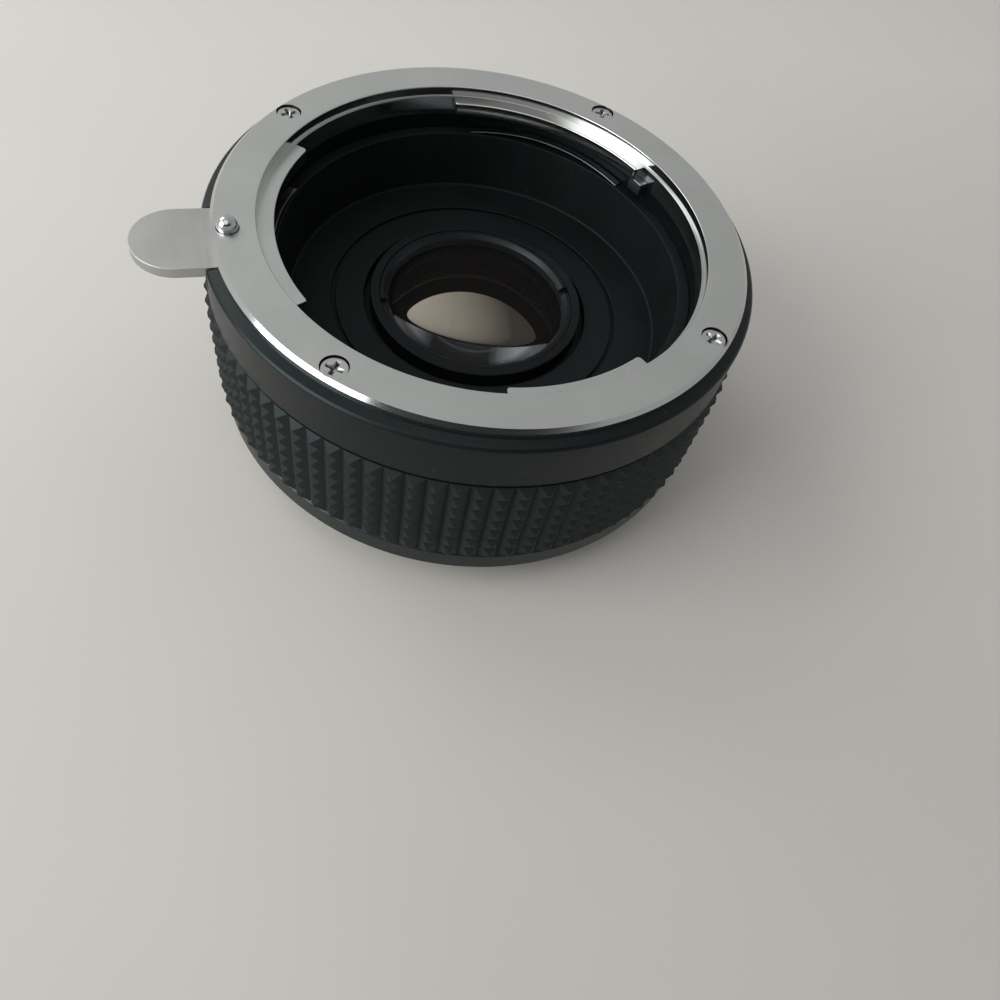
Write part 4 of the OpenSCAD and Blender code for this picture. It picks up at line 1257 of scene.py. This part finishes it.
@dataclass(frozen=True)
class Grip:
    """Knurled ring: upright ridges with shallower grooves around them, and worn edges."""

    columns: int = 86
    rows: int = 7
    low: float = 3.7
    top: float = 17.45
    peak_r: float = 31.75
    valley_r: float = 30.95
    bore_r: float = 29.45
    groove: float = 0.62
    end_groove: float = 0.9
    worn: float = 0.05
    flat_u: float = 0.05
    flat_v: float = 0.14

    def build(self) -> None:
        """Builds the ring."""
        bm = bmesh.new()
        for row in range(self.rows):
            for column in range(self.columns):
                self.tooth(bm, column, row)
        a, b = self.end_groove - self.worn, self.end_groove + self.worn
        spots = [(column, u) for column in range(self.columns) for u in (-1, -b, -a, a, b)]
        loops = []
        for row, v in ((self.rows - 1, 1), (0, -1)):
            outer = [self.point(bm, column, row, u, v, 1 - max(abs(u), self.end_groove)) for column, u in spots]
            inner = [bm.verts.new(polar(TURN * (column + (1 + u) / 2) / self.columns, self.bore_r,
                                        self.top if v > 0 else self.low)) for column, u in spots]
            loops += [outer, inner] if v > 0 else [inner, outer]
        for first, second in zip(loops, loops[1:]):
            for k in range(len(first)):
                n = (k + 1) % len(first)
                bm.faces.new((first[k], first[n], second[n], second[k]))
        bmesh.ops.remove_doubles(bm, verts=bm.verts, dist=1e-6)
        ring = finish_mesh("knurled_grip", bm, 20)
        settle(ring, Body.BODY, Slot.GRIP, GRIP_BLACK.material(), "grip_ring")

    def point(self, bm: bmesh.types.BMesh, column: int, row: int, u: float, v: float,
              height: float) -> bmesh.types.BMVert:
        """Adds a point of a tooth.

        Args:
            bm: Mesh to add to.
            column: Place of the tooth around the ring.
            row: Place of the tooth up the ring.
            u: Place in the tooth around the ring, from -1 to 1.
            v: Place in the tooth up the ring, from -1 to 1.
            height: Height of the point as a share of an unworn tooth.

        Returns:
            The new point.
        """
        pitch = (self.top - self.low) / self.rows
        rise = (self.peak_r - self.valley_r) / (1 - self.groove * self.flat_v)
        r = min(self.valley_r + rise * height, self.peak_r)
        return bm.verts.new(polar(TURN * (column + (1 + u) / 2) / self.columns, r,
                                  self.low + pitch * (row + (1 + v) / 2)))

    def tooth(self, bm: bmesh.types.BMesh, column: int, row: int) -> None:
        """Adds one tooth of a ridge.

        Args:
            bm: Mesh to add to.
            column: Place around the ring.
            row: Place up the ring.
        """
        cuts = {-1: self.end_groove if row == 0 else self.groove,
                1: self.end_groove if row == self.rows - 1 else self.groove}

        def add(*spots: tuple[float, float, float]) -> None:
            """Adds a face through places around, up and above the ring."""
            bm.faces.new([self.point(bm, column, row, *spot) for spot in spots])

        def sloped(side: int, up: int, v: float) -> tuple[float, float, float]:
            """Gives a place on the worn edge of the groove's face."""
            return side * (cuts[up] * v - self.worn), up * v, 1 - cuts[up] * v

        def upright(side: int, up: int, v: float) -> tuple[float, float, float]:
            """Gives a place on the worn edge of the ridge's side."""
            return side * (cuts[up] * v + self.worn), up * v, 1 - cuts[up] * v - self.worn

        t, s = self.flat_v, self.flat_u
        for up in (-1, 1):
            add(sloped(-1, up, 1), sloped(1, up, 1), sloped(1, up, t), sloped(-1, up, t))
            for side in (-1, 1):
                add(sloped(side, up, 1), upright(side, up, 1), upright(side, up, s), sloped(side, up, t))
        for side in (-1, 1):
            add(upright(side, 1, 1), (side, 1, 0), (side, -1, 0), upright(side, -1, 1), upright(side, -1, s),
                upright(side, 1, s))
        add(sloped(1, 1, t), upright(1, 1, s), upright(1, -1, s), sloped(1, -1, t), sloped(-1, -1, t),
            upright(-1, -1, s), upright(-1, 1, s), sloped(-1, 1, t))


@dataclass(frozen=True)
class CameraMount:
    """Rear cover, male bayonet, its screws and the light baffle."""

    flange_r: float = 29.0
    flange_t: float = 1.4
    edge: float = 0.4
    spigot_r: float = 23.3
    spigot_bore: float = 21.5
    spigot_z: float = -5.0
    lug_r: float = 24.75
    lug_top: float = -2.75
    lug_low: float = -4.25
    notch_r: float = 28.2
    notch_w: float = 2.5
    screw_r: float = 26.1
    cover_r: float = 31.2
    cover_low: float = 0.8
    cover_rim: float = 3.7
    cover_bore: float = 22.2
    cover_step: float = 3.0
    boss_in: float = 24.25
    boss_out: float = 27.95
    boss_top: float = 5.4
    sleeve_r: float = 29.45
    sleeve_low: float = 2.6
    chamfer: float = 0.25
    baffle_r: float = 23.1
    baffle_t: float = 0.8

    def outline(self, share: float) -> list[Point]:
        """Gives the section of the mount.

        Args:
            share: Share of their reach by which the lugs stand out.

        Returns:
            Its points in order.
        """
        full = rounded([(self.spigot_bore, self.spigot_z, 0.1), (self.spigot_r, self.spigot_z, self.edge),
                        (self.spigot_r, self.lug_low, 0), (self.lug_r, self.lug_low, 0.15),
                        (self.lug_r, self.lug_top, 0.15), (self.spigot_r, self.lug_top, 0), (self.spigot_r, 0, 0.05),
                        (self.flange_r, 0, self.edge), (self.flange_r, self.flange_t, 0.05),
                        (self.spigot_bore, self.flange_t, 0)])
        return [(self.spigot_r + share * (r - self.spigot_r), z)
                if r > self.spigot_r and z < self.lug_top / 2 else (r, z) for r, z in full]

    def build(self) -> None:
        """Builds the cover, the mount, the screws and the baffle."""
        down = Matrix.Rotation(math.pi, 4, "X")
        soft = 0.1
        cover = lathe("rear_rim_cover", [
            (self.cover_r - self.chamfer, self.cover_rim, soft), (self.cover_r, self.cover_rim - self.chamfer, soft),
            (self.cover_r, self.cover_low + self.chamfer, soft), (self.cover_r - self.chamfer, self.cover_low, soft),
            (self.flange_r + 0.05, self.cover_low, 0.06), (self.flange_r + 0.05, self.flange_t, 0),
            (self.baffle_r + 0.05, self.flange_t, 0), (self.baffle_r + 0.05, self.flange_t + self.baffle_t, 0),
            (self.cover_bore, self.flange_t + self.baffle_t, 0), (self.cover_bore, self.cover_step, 0),
            (self.boss_in, self.cover_step, 0), (self.boss_in, self.boss_top, 0), (self.boss_out, self.boss_top, 0),
            (self.boss_out, self.sleeve_low, 0), (self.sleeve_r, self.sleeve_low, 0),
            (self.sleeve_r, self.cover_rim, 0)])
        carve(cover, MOUNT_SCREW.holes(self.screw_r, SCREW_SPOTS, down))
        settle(cover, Body.BODY, Slot.BARREL, COVER_BLACK.material(), "rear_cover")
        mount = revolve("camera_mount_flange", around(stepped(LUGS, self.lug_r, 0.4), self.outline))
        half = self.notch_w / 2
        slot = [(-self.notch_r + half * math.cos(a), half * math.sin(a))
                for a in (-math.pi / 2 + math.pi * k / 24 for k in range(25))]
        slot += [(-self.cover_r, half), (-self.cover_r, -half)]
        notch = prism("notch", [(-0.3, slot), (self.flange_t + 0.3, slot)])
        carve(mount, [*MOUNT_SCREW.holes(self.screw_r, SCREW_SPOTS, down), notch])
        settle(mount, Body.BODY, Slot.CHROME, REAR_CHROME.material(), "rear_mount")
        screws = MOUNT_SCREW.ring("camera_mount_screws", self.screw_r, SCREW_SPOTS, down)
        settle(screws, Body.BODY, Slot.SCREW, REAR_SCREW.material(), "rear_mount_screws")
        keep(WELL_BLACK.material(), "rear_baffle")


@dataclass(frozen=True)
class LensWell:
    """Black well with its stepped floor, and the screws that hold it."""

    rim_r: float = 23.5
    floor_r: float = 22.7
    rim_z: float = 20.0
    wall_r: float = 24.9
    shelf_r: float = 27.95
    shelf_top: float = 18.0
    shelf_low: float = 16.6
    floor_z: float = 12.8
    floor_low: float = 11.3
    groove_in: float = 17.25
    groove_out: float = 17.75
    groove_z: float = 12.4
    neck_r: float = 15.0
    neck_low: float = 7.8
    clip_r: float = 14.4
    clip_top: float = 9.95
    clip_low: float = 9.25
    bore_r: float = 13.1
    seat_r: float = 13.8
    seat_z: float = 11.7
    arm_in: float = 20.2
    arm_out: float = 21.9
    arm_from: float = -119.98
    arm_to: float = -85.02

    def build(self) -> None:
        """Builds the well."""
        soft = 0.08
        well = lathe("light_well", [
            (self.rim_r, self.rim_z, 0.12), (self.wall_r, self.rim_z, 0.05), (self.wall_r, self.shelf_top, 0),
            (self.shelf_r, self.shelf_top, 0), (self.shelf_r, self.shelf_low, 0), (self.wall_r, self.shelf_low, 0),
            (self.wall_r, self.floor_low, 0), (self.neck_r, self.floor_low, 0), (self.neck_r, self.clip_top, 0),
            (self.clip_r, self.clip_top, 0), (self.clip_r, self.clip_low, 0), (self.neck_r, self.clip_low, 0),
            (self.neck_r, self.neck_low, 0), (self.bore_r, self.neck_low, 0), (self.bore_r, self.seat_z, 0),
            (self.seat_r, self.seat_z, 0), (self.seat_r, self.floor_z, 0.1), (self.groove_in, self.floor_z, soft),
            (self.groove_in, self.groove_z, 0), (self.groove_out, self.groove_z, 0),
            (self.groove_out, self.floor_z, soft), (self.floor_r, self.floor_z, 0.3)])
        low, high = self.floor_low - 0.3, self.floor_z + 0.4
        section = [(self.arm_in, low), (self.arm_out, low), (self.arm_out, high), (self.arm_in, high)]
        rings = [(self.arm_from + (self.arm_to - self.arm_from) * k / 35, section) for k in range(36)]
        carve(well, [revolve("arm_slot", rings, closed=False)])
        settle(well, Body.BODY, Slot.MATT, WELL_BLACK.material(), "lens_well")
        keep(SPRING_STEEL.material(), "well_screws")


def sag(radius: float, r: float) -> float:
    """Gives the depth of a spherical face between its middle and a distance from the axis."""
    return radius - math.sqrt(radius * radius - r * r)


def sphere_arc(vertex: float, radius: float, r_from: float, r_to: float, steps: int = 40) -> list[Point]:
    """Gives points along a spherical face.

    Args:
        vertex: Height of the face on the axis.
        radius: Radius of the sphere, positive where the face bulges towards +Z.
        r_from: First distance from the axis.
        r_to: Last distance from the axis.
        steps: Number of steps.

    Returns:
        Radius and height of each point.
    """
    points = []
    for k in range(steps + 1):
        r = r_from + (r_to - r_from) * k / steps
        points.append((r, vertex - radius + math.copysign(math.sqrt(radius * radius - r * r), radius)))
    return points


@dataclass(frozen=True)
class LensBlock:
    """Lens tube with its rings, spacers and glass."""

    tube_r: float = 13.05
    tube_front: float = 13.8
    tube_rear: float = -1.5
    bore_r: float = 11.95
    lens_r: float = 11.9
    ring_in: float = 10.9
    ring_low: float = 12.2
    ring_top: float = 13.7
    ring_cone: float = 0.5
    front_radius: float = 90.0
    front_back_radius: float = 30.0
    front_back: float = 10.4
    neg_radius: float = 33.0
    neg_rim: float = 9.246
    neg_back: float = 4.3
    spacer_r: float = 10.2
    pos_radius: float = 34.0
    pos_r: float = 10.9
    pos_edge: float = 3.9
    rear_radius: float = 32.0
    rear_front: float = 1.9
    rear_back: float = -0.5
    lip_r: float = 9.8
    lip_t: float = 0.7
    rear_ring_in: float = 9.6
    rear_ring_low: float = -1.3
    slot_w: float = 1.0
    slot_depth: float = 0.5
    seated: float = 0.01

    def build(self) -> None:
        """Builds the tube, the rings and the glass."""
        black = TUBE_BLACK.material()
        rear_bore = self.pos_r + 0.05
        tube = lathe("lens_cell", [
            (self.tube_r, self.tube_front, 0.15), (self.tube_r, self.tube_rear, 0.15), (rear_bore, self.tube_rear, 0.1),
            (rear_bore, self.rear_front, 0), (self.lip_r, self.rear_front, 0.05),
            (self.lip_r, self.rear_front + self.lip_t, 0.05), (self.bore_r, self.rear_front + self.lip_t, 0),
            (self.bore_r, self.tube_front, 0.1)], 256)
        settle(tube, Body.BODY, Slot.SATIN, black, "lens_tube")
        front = lathe("front_lens_ring", [
            (self.lens_r, self.ring_low, 0), (self.lens_r, self.ring_top, 0.06),
            (self.ring_in + self.ring_cone, self.ring_top, 0.04),
            (self.ring_in, self.ring_top - self.ring_cone, 0.06), (self.ring_in, self.ring_low, 0)], 256)
        carve(front, self.slots(self.ring_in, self.lens_r, self.ring_top - self.slot_depth, self.ring_top + 0.3))
        settle(front, Body.BODY, Slot.SATIN, RING_BLACK.material(), "front_retaining_ring")
        low, high = self.rear_ring_low, self.rear_back + self.seated
        rear = lathe("rear_lens_ring", [(self.pos_r, low, 0.06), (self.pos_r, high, 0), (self.rear_ring_in, high, 0),
                                        (self.rear_ring_in, low, 0.15)], 256)
        carve(rear, self.slots(self.rear_ring_in, self.pos_r, low - 0.3, low + self.slot_depth))
        settle(rear, Body.BODY, Slot.SATIN, black, "rear_retaining_ring")
        keep(black, "lens_lock_ring")
        keep(LENS_BLACK.material(), "front_spacer", "rear_spacer")
        self.glass()

    def slots(self, r_in: float, r_out: float, low: float, high: float) -> list[Piece]:
        """Builds the cutters for the two spanner slots of a ring.

        Args:
            r_in: Inner radius of the ring.
            r_out: Outer radius of the ring.
            low: Lower height of the cut.
            high: Upper height of the cut.

        Returns:
            The two cutters.
        """
        half = self.slot_w / 2
        cutters = []
        for side in (-1, 1):
            a, b = sorted((side * (r_in - 0.4), side * (r_out + 0.4)))
            outline = [(a, -half), (b, -half), (b, half), (a, half)]
            cutters.append(prism("slot", [(low, outline), (high, outline)]))
        return cutters

    def glass(self) -> None:
        """Builds the front element, the cemented pair and the rear element, seated a hair into their black seats."""
        r = self.spacer_r - 0.05
        back = self.front_back - self.seated
        front = [*sphere_arc(self.ring_low + sag(self.front_radius, self.ring_in), self.front_radius, 0, self.lens_r),
                 (self.lens_r, back), (r, back),
                 *sphere_arc(back - sag(self.front_back_radius, r), -self.front_back_radius, r, 0)[1:]]
        settle(spindle("front_lens", front, 192, 30), Body.BODY, Slot.GLASS, FRONT_GLASS.material(), "front_element")
        rim, step = self.neg_rim + self.seated, self.neg_back - self.seated
        pair = [*sphere_arc(rim - sag(self.neg_radius, self.spacer_r), -self.neg_radius, 0, self.spacer_r),
                (self.lens_r, rim), (self.lens_r, step), (self.pos_r, step),
                *sphere_arc(self.pos_edge - sag(self.pos_radius, self.pos_r), -self.pos_radius, self.pos_r, 0)]
        settle(spindle("cemented_lens_pair", pair, 192, 30), Body.BODY, Slot.GLASS, PAIR_GLASS.material(),
               "negative_element", "positive_element")
        face = self.rear_front + self.seated
        rear = [*sphere_arc(face - sag(self.rear_radius, self.lip_r), -self.rear_radius, 0, self.lip_r),
                (self.pos_r, face), (self.pos_r, self.rear_back), (0, self.rear_back)]
        settle(spindle("rear_lens", rear, 192, 30), Body.BODY, Slot.GLASS, REAR_GLASS.material(), "rear_element")


@dataclass(frozen=True)
class ApertureCoupling:
    """Aperture ring with its two arms, its clip, its studs and its return spring."""

    stud_az: float = 60.0
    stud_r: float = 18.35
    post_az: float = 10.0
    post_r: float = 20.75
    z: float = 8.9
    loop_r: float = 0.82
    coil_r: float = 0.83
    wire_d: float = 0.34
    turns: int = 15
    loop_open: float = 30.0

    def build(self) -> None:
        """Dresses the CAD solids and builds the spring."""
        keep(SPRING_STEEL.material(), "aperture_ring", "aperture_rear_arm", "ring_clip")
        keep(PLAIN_BRASS.material(), "arm_rivets", "ring_stud", "spring_post")
        stud = polar(self.stud_az, self.stud_r, self.z) / MM
        post = polar(self.post_az, self.post_r, self.z) / MM
        span = (post - stud).length
        along = (post - stud).normalized()
        side = Vector((-along.y, along.x, 0))
        first, last, steps = self.loop_r + self.wire_d, span - self.loop_r - self.wire_d, 20
        path: list[Vector] = []

        def add(x: float, y: float, z: float) -> None:
            """Adds a point given along, beside and above the line from stud to post."""
            path.append(stud + along * x + side * y + Vector((0, 0, z)))

        sweep = TURN - 2 * self.loop_open
        for k in range(25):
            a = math.radians(-self.loop_open - sweep * k / 24)
            add(self.loop_r * math.cos(a), self.loop_r * math.sin(a), 0)
        for k in range(self.turns * steps + 1):
            a = math.tau * k / steps
            add(first + (last - first) * k / (self.turns * steps), self.coil_r * math.cos(a), self.coil_r * math.sin(a))
        for k in range(25):
            a = math.radians(180 - self.loop_open - sweep * k / 24)
            add(span + self.loop_r * math.cos(a), self.loop_r * math.sin(a), 0)
        spring = wire("aperture_return_spring", path, self.wire_d, 10)
        spring.data.materials.append(SPRING_STEEL.material())
        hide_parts("aperture_spring")
        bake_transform(spring)
        LOG.info("%s: %d faces, bends from the body to the aperture ring", spring.name, len(spring.data.polygons))


@dataclass(frozen=True)
class Lamp:
    """Square soft lamp that faces the object."""

    name: str
    spot: Corner
    size: float
    power: float

    def hang(self, aim: Corner) -> None:
        """Hangs the lamp.

        Args:
            aim: Point that it faces, in millimetres.
        """
        data = bpy.data.lights.new(self.name, "AREA")
        data.size = self.size * MM
        data.energy = self.power
        lamp = bpy.data.objects.new(self.name, data)
        bpy.context.scene.collection.objects.link(lamp)
        lamp.location = Vector(self.spot) * MM
        lamp.rotation_euler = (Vector(aim) - Vector(self.spot)).to_track_quat("-Z", "Y").to_euler()


@dataclass(frozen=True)
class Studio:
    """Floor, light and camera."""

    floor_z: float = -5.0
    floor_size: float = 3000.0
    eye: Corner = (-26.04, -72.32, 84.67)
    right: Corner = (0.9599, -0.2355, 0.1523)
    up: Corner = (0.1195, 0.8346, 0.5377)
    lens: float = 29.52
    sensor: float = 36.0
    # Painted light: the floor's colour at the near and far side and the span of its gradient.
    floor_shaded_near: Colour = (0.520, 0.506, 0.474)
    floor_lit_far: Colour = (0.690, 0.674, 0.636)
    floor_from: float = -85.0
    floor_to: float = 90.0
    cloud_pitch: float = 60.0
    # Painted pool of light under the lens: its colour, its span in X and its strength at both ends.
    painted_pool: Colour = (1.0, 0.97, 0.90)
    pool_x: Point = (-9.0, 8.0)
    pool_share: Point = (0.56, 0.03)
    lamps: tuple[Lamp, ...] = (Lamp("window_left", (-340.0, -62.0, 205.0), 290.0, 1.25),
                               Lamp("window_far", (-600.0, 700.0, 700.0), 600.0, 2.2))
    aim: Corner = (0.0, 0.0, 10.0)
    away: Corner = (0.30, 0.93, -0.20)
    bright_side: Corner = (-0.80, 0.55, -0.25)
    overhead: Corner = (-0.199, -0.237, 0.951)
    down: Corner = (0.0, 0.0, -1.0)
    room_dark: Colour = (0.025, 0.026, 0.027)
    room_even: Colour = (0.41, 0.41, 0.41)
    room_bright: Colour = (0.64, 0.64, 0.64)
    ceiling: Colour = (1.2, 1.2, 1.2)
    backdrop: Colour = (0.60, 0.59, 0.56)

    def build(self) -> None:
        """Builds the studio."""
        self.floor()
        self.room()
        for lamp in self.lamps:
            lamp.hang(self.aim)
        self.camera()
        LOG.info("studio: floor, room light, two soft lamps and the camera")

    def floor(self) -> None:
        """Lays the floor, painted paler towards the far side as painted light, with a painted pool of light, brighter
        at the left, that only shows through glass.
        """
        half = self.floor_size / 2
        corners = [(-half, -half), (half, -half), (half, half), (-half, half)]
        bm = bmesh.new()
        bm.faces.new([bm.verts.new(Vector((x, y, self.floor_z)) * MM) for x, y in corners])
        floor = finish_mesh("floor", bm)
        graph = Graph("pale_floor")
        place = graph.split(graph.coords)
        cloud = graph.span(graph.noise(self.cloud_pitch), 0.3, 0.7, -0.08, 0.08)
        # Painted light: random tone plus a gradient that makes the floor paler towards the far side.
        paler = graph.math("ADD", cloud, graph.span(place["Y"], self.floor_from * MM, self.floor_to * MM))
        graph.feed("Base Color", graph.blend(paler, self.floor_shaded_near, self.floor_lit_far))
        graph.feed("Roughness", 0.6)
        graph.feed("Specular IOR Level", 0.2)
        # Painted light: rays through glass see the floor shine, brighter at the left, standing in for light that falls
        # through the lens onto the floor.
        through = graph.add("ShaderNodeLightPath").outputs["Is Transmission Ray"]
        left, right = self.pool_x
        painted_pool = graph.span(place["X"], left * MM, right * MM, *self.pool_share)
        graph.feed("Emission Color", self.painted_pool)
        graph.feed("Emission Strength", graph.math("MULTIPLY", through, painted_pool))
        floor.data.materials.append(graph.material)

    def room(self) -> None:
        """Lights the room, brighter towards the window and overhead and dark behind the camera.

        The camera and rays through glass see a pale, even backdrop instead, and metal shows the lit room low behind the
        camera, too.
        """
        world = bpy.data.worlds.new("room")
        bpy.context.scene.world = world
        world.use_nodes = True
        nodes = Nodes(world.node_tree)
        direction = nodes.add("ShaderNodeTexCoord").outputs["Generated"]
        rays = nodes.add("ShaderNodeLightPath").outputs
        walls = nodes.blend(nodes.towards(direction, self.bright_side, -0.4, 0.8), self.room_even, self.room_bright)
        low = nodes.math("MULTIPLY", rays["Is Glossy Ray"], nodes.towards(direction, self.down, -0.56, -0.48))
        lit = nodes.math("MAXIMUM", nodes.towards(direction, self.away, -0.65, -0.1), low)
        room = nodes.blend(lit, self.room_dark, walls)
        room = nodes.blend(nodes.towards(direction, self.overhead, 0.87, 0.95), room, self.ceiling)
        seen = nodes.math("MAXIMUM", rays["Is Camera Ray"], rays["Is Transmission Ray"])
        nodes.set(nodes.tree.nodes["Background"], "Color", nodes.blend(seen, room, self.backdrop))

    def camera(self) -> None:
        """Sets the camera at the photograph's viewing angle."""
        data = bpy.data.cameras.new("camera")
        data.lens, data.sensor_width = self.lens, self.sensor
        data.clip_start, data.clip_end = 0.001, 20.0
        camera = bpy.data.objects.new("camera", data)
        bpy.context.scene.collection.objects.link(camera)
        right = Vector(self.right).normalized()
        back = right.cross(Vector(self.up)).normalized()
        up = back.cross(right)
        turn = Matrix((right, up, back)).transposed().to_4x4()
        camera.matrix_world = Matrix.Translation(Vector(self.eye) * MM) @ turn
        bpy.context.scene.camera = camera


def main() -> None:
    """Builds the studio and the sub-assemblies in order."""
    logging.basicConfig(level=logging.INFO, format="%(message)s")
    bpy.context.scene.view_settings.view_transform = "Standard"
    parts: list[Callable[[], None]] = [Studio().build, LensMount().build, LensLock().build, BayonetSprings().build,
                                       Barrel().build, Grip().build, CameraMount().build, LensWell().build,
                                       LensBlock().build, ApertureCoupling().build]
    for part in parts:
        part()


if __name__ == "__main__":
    main()
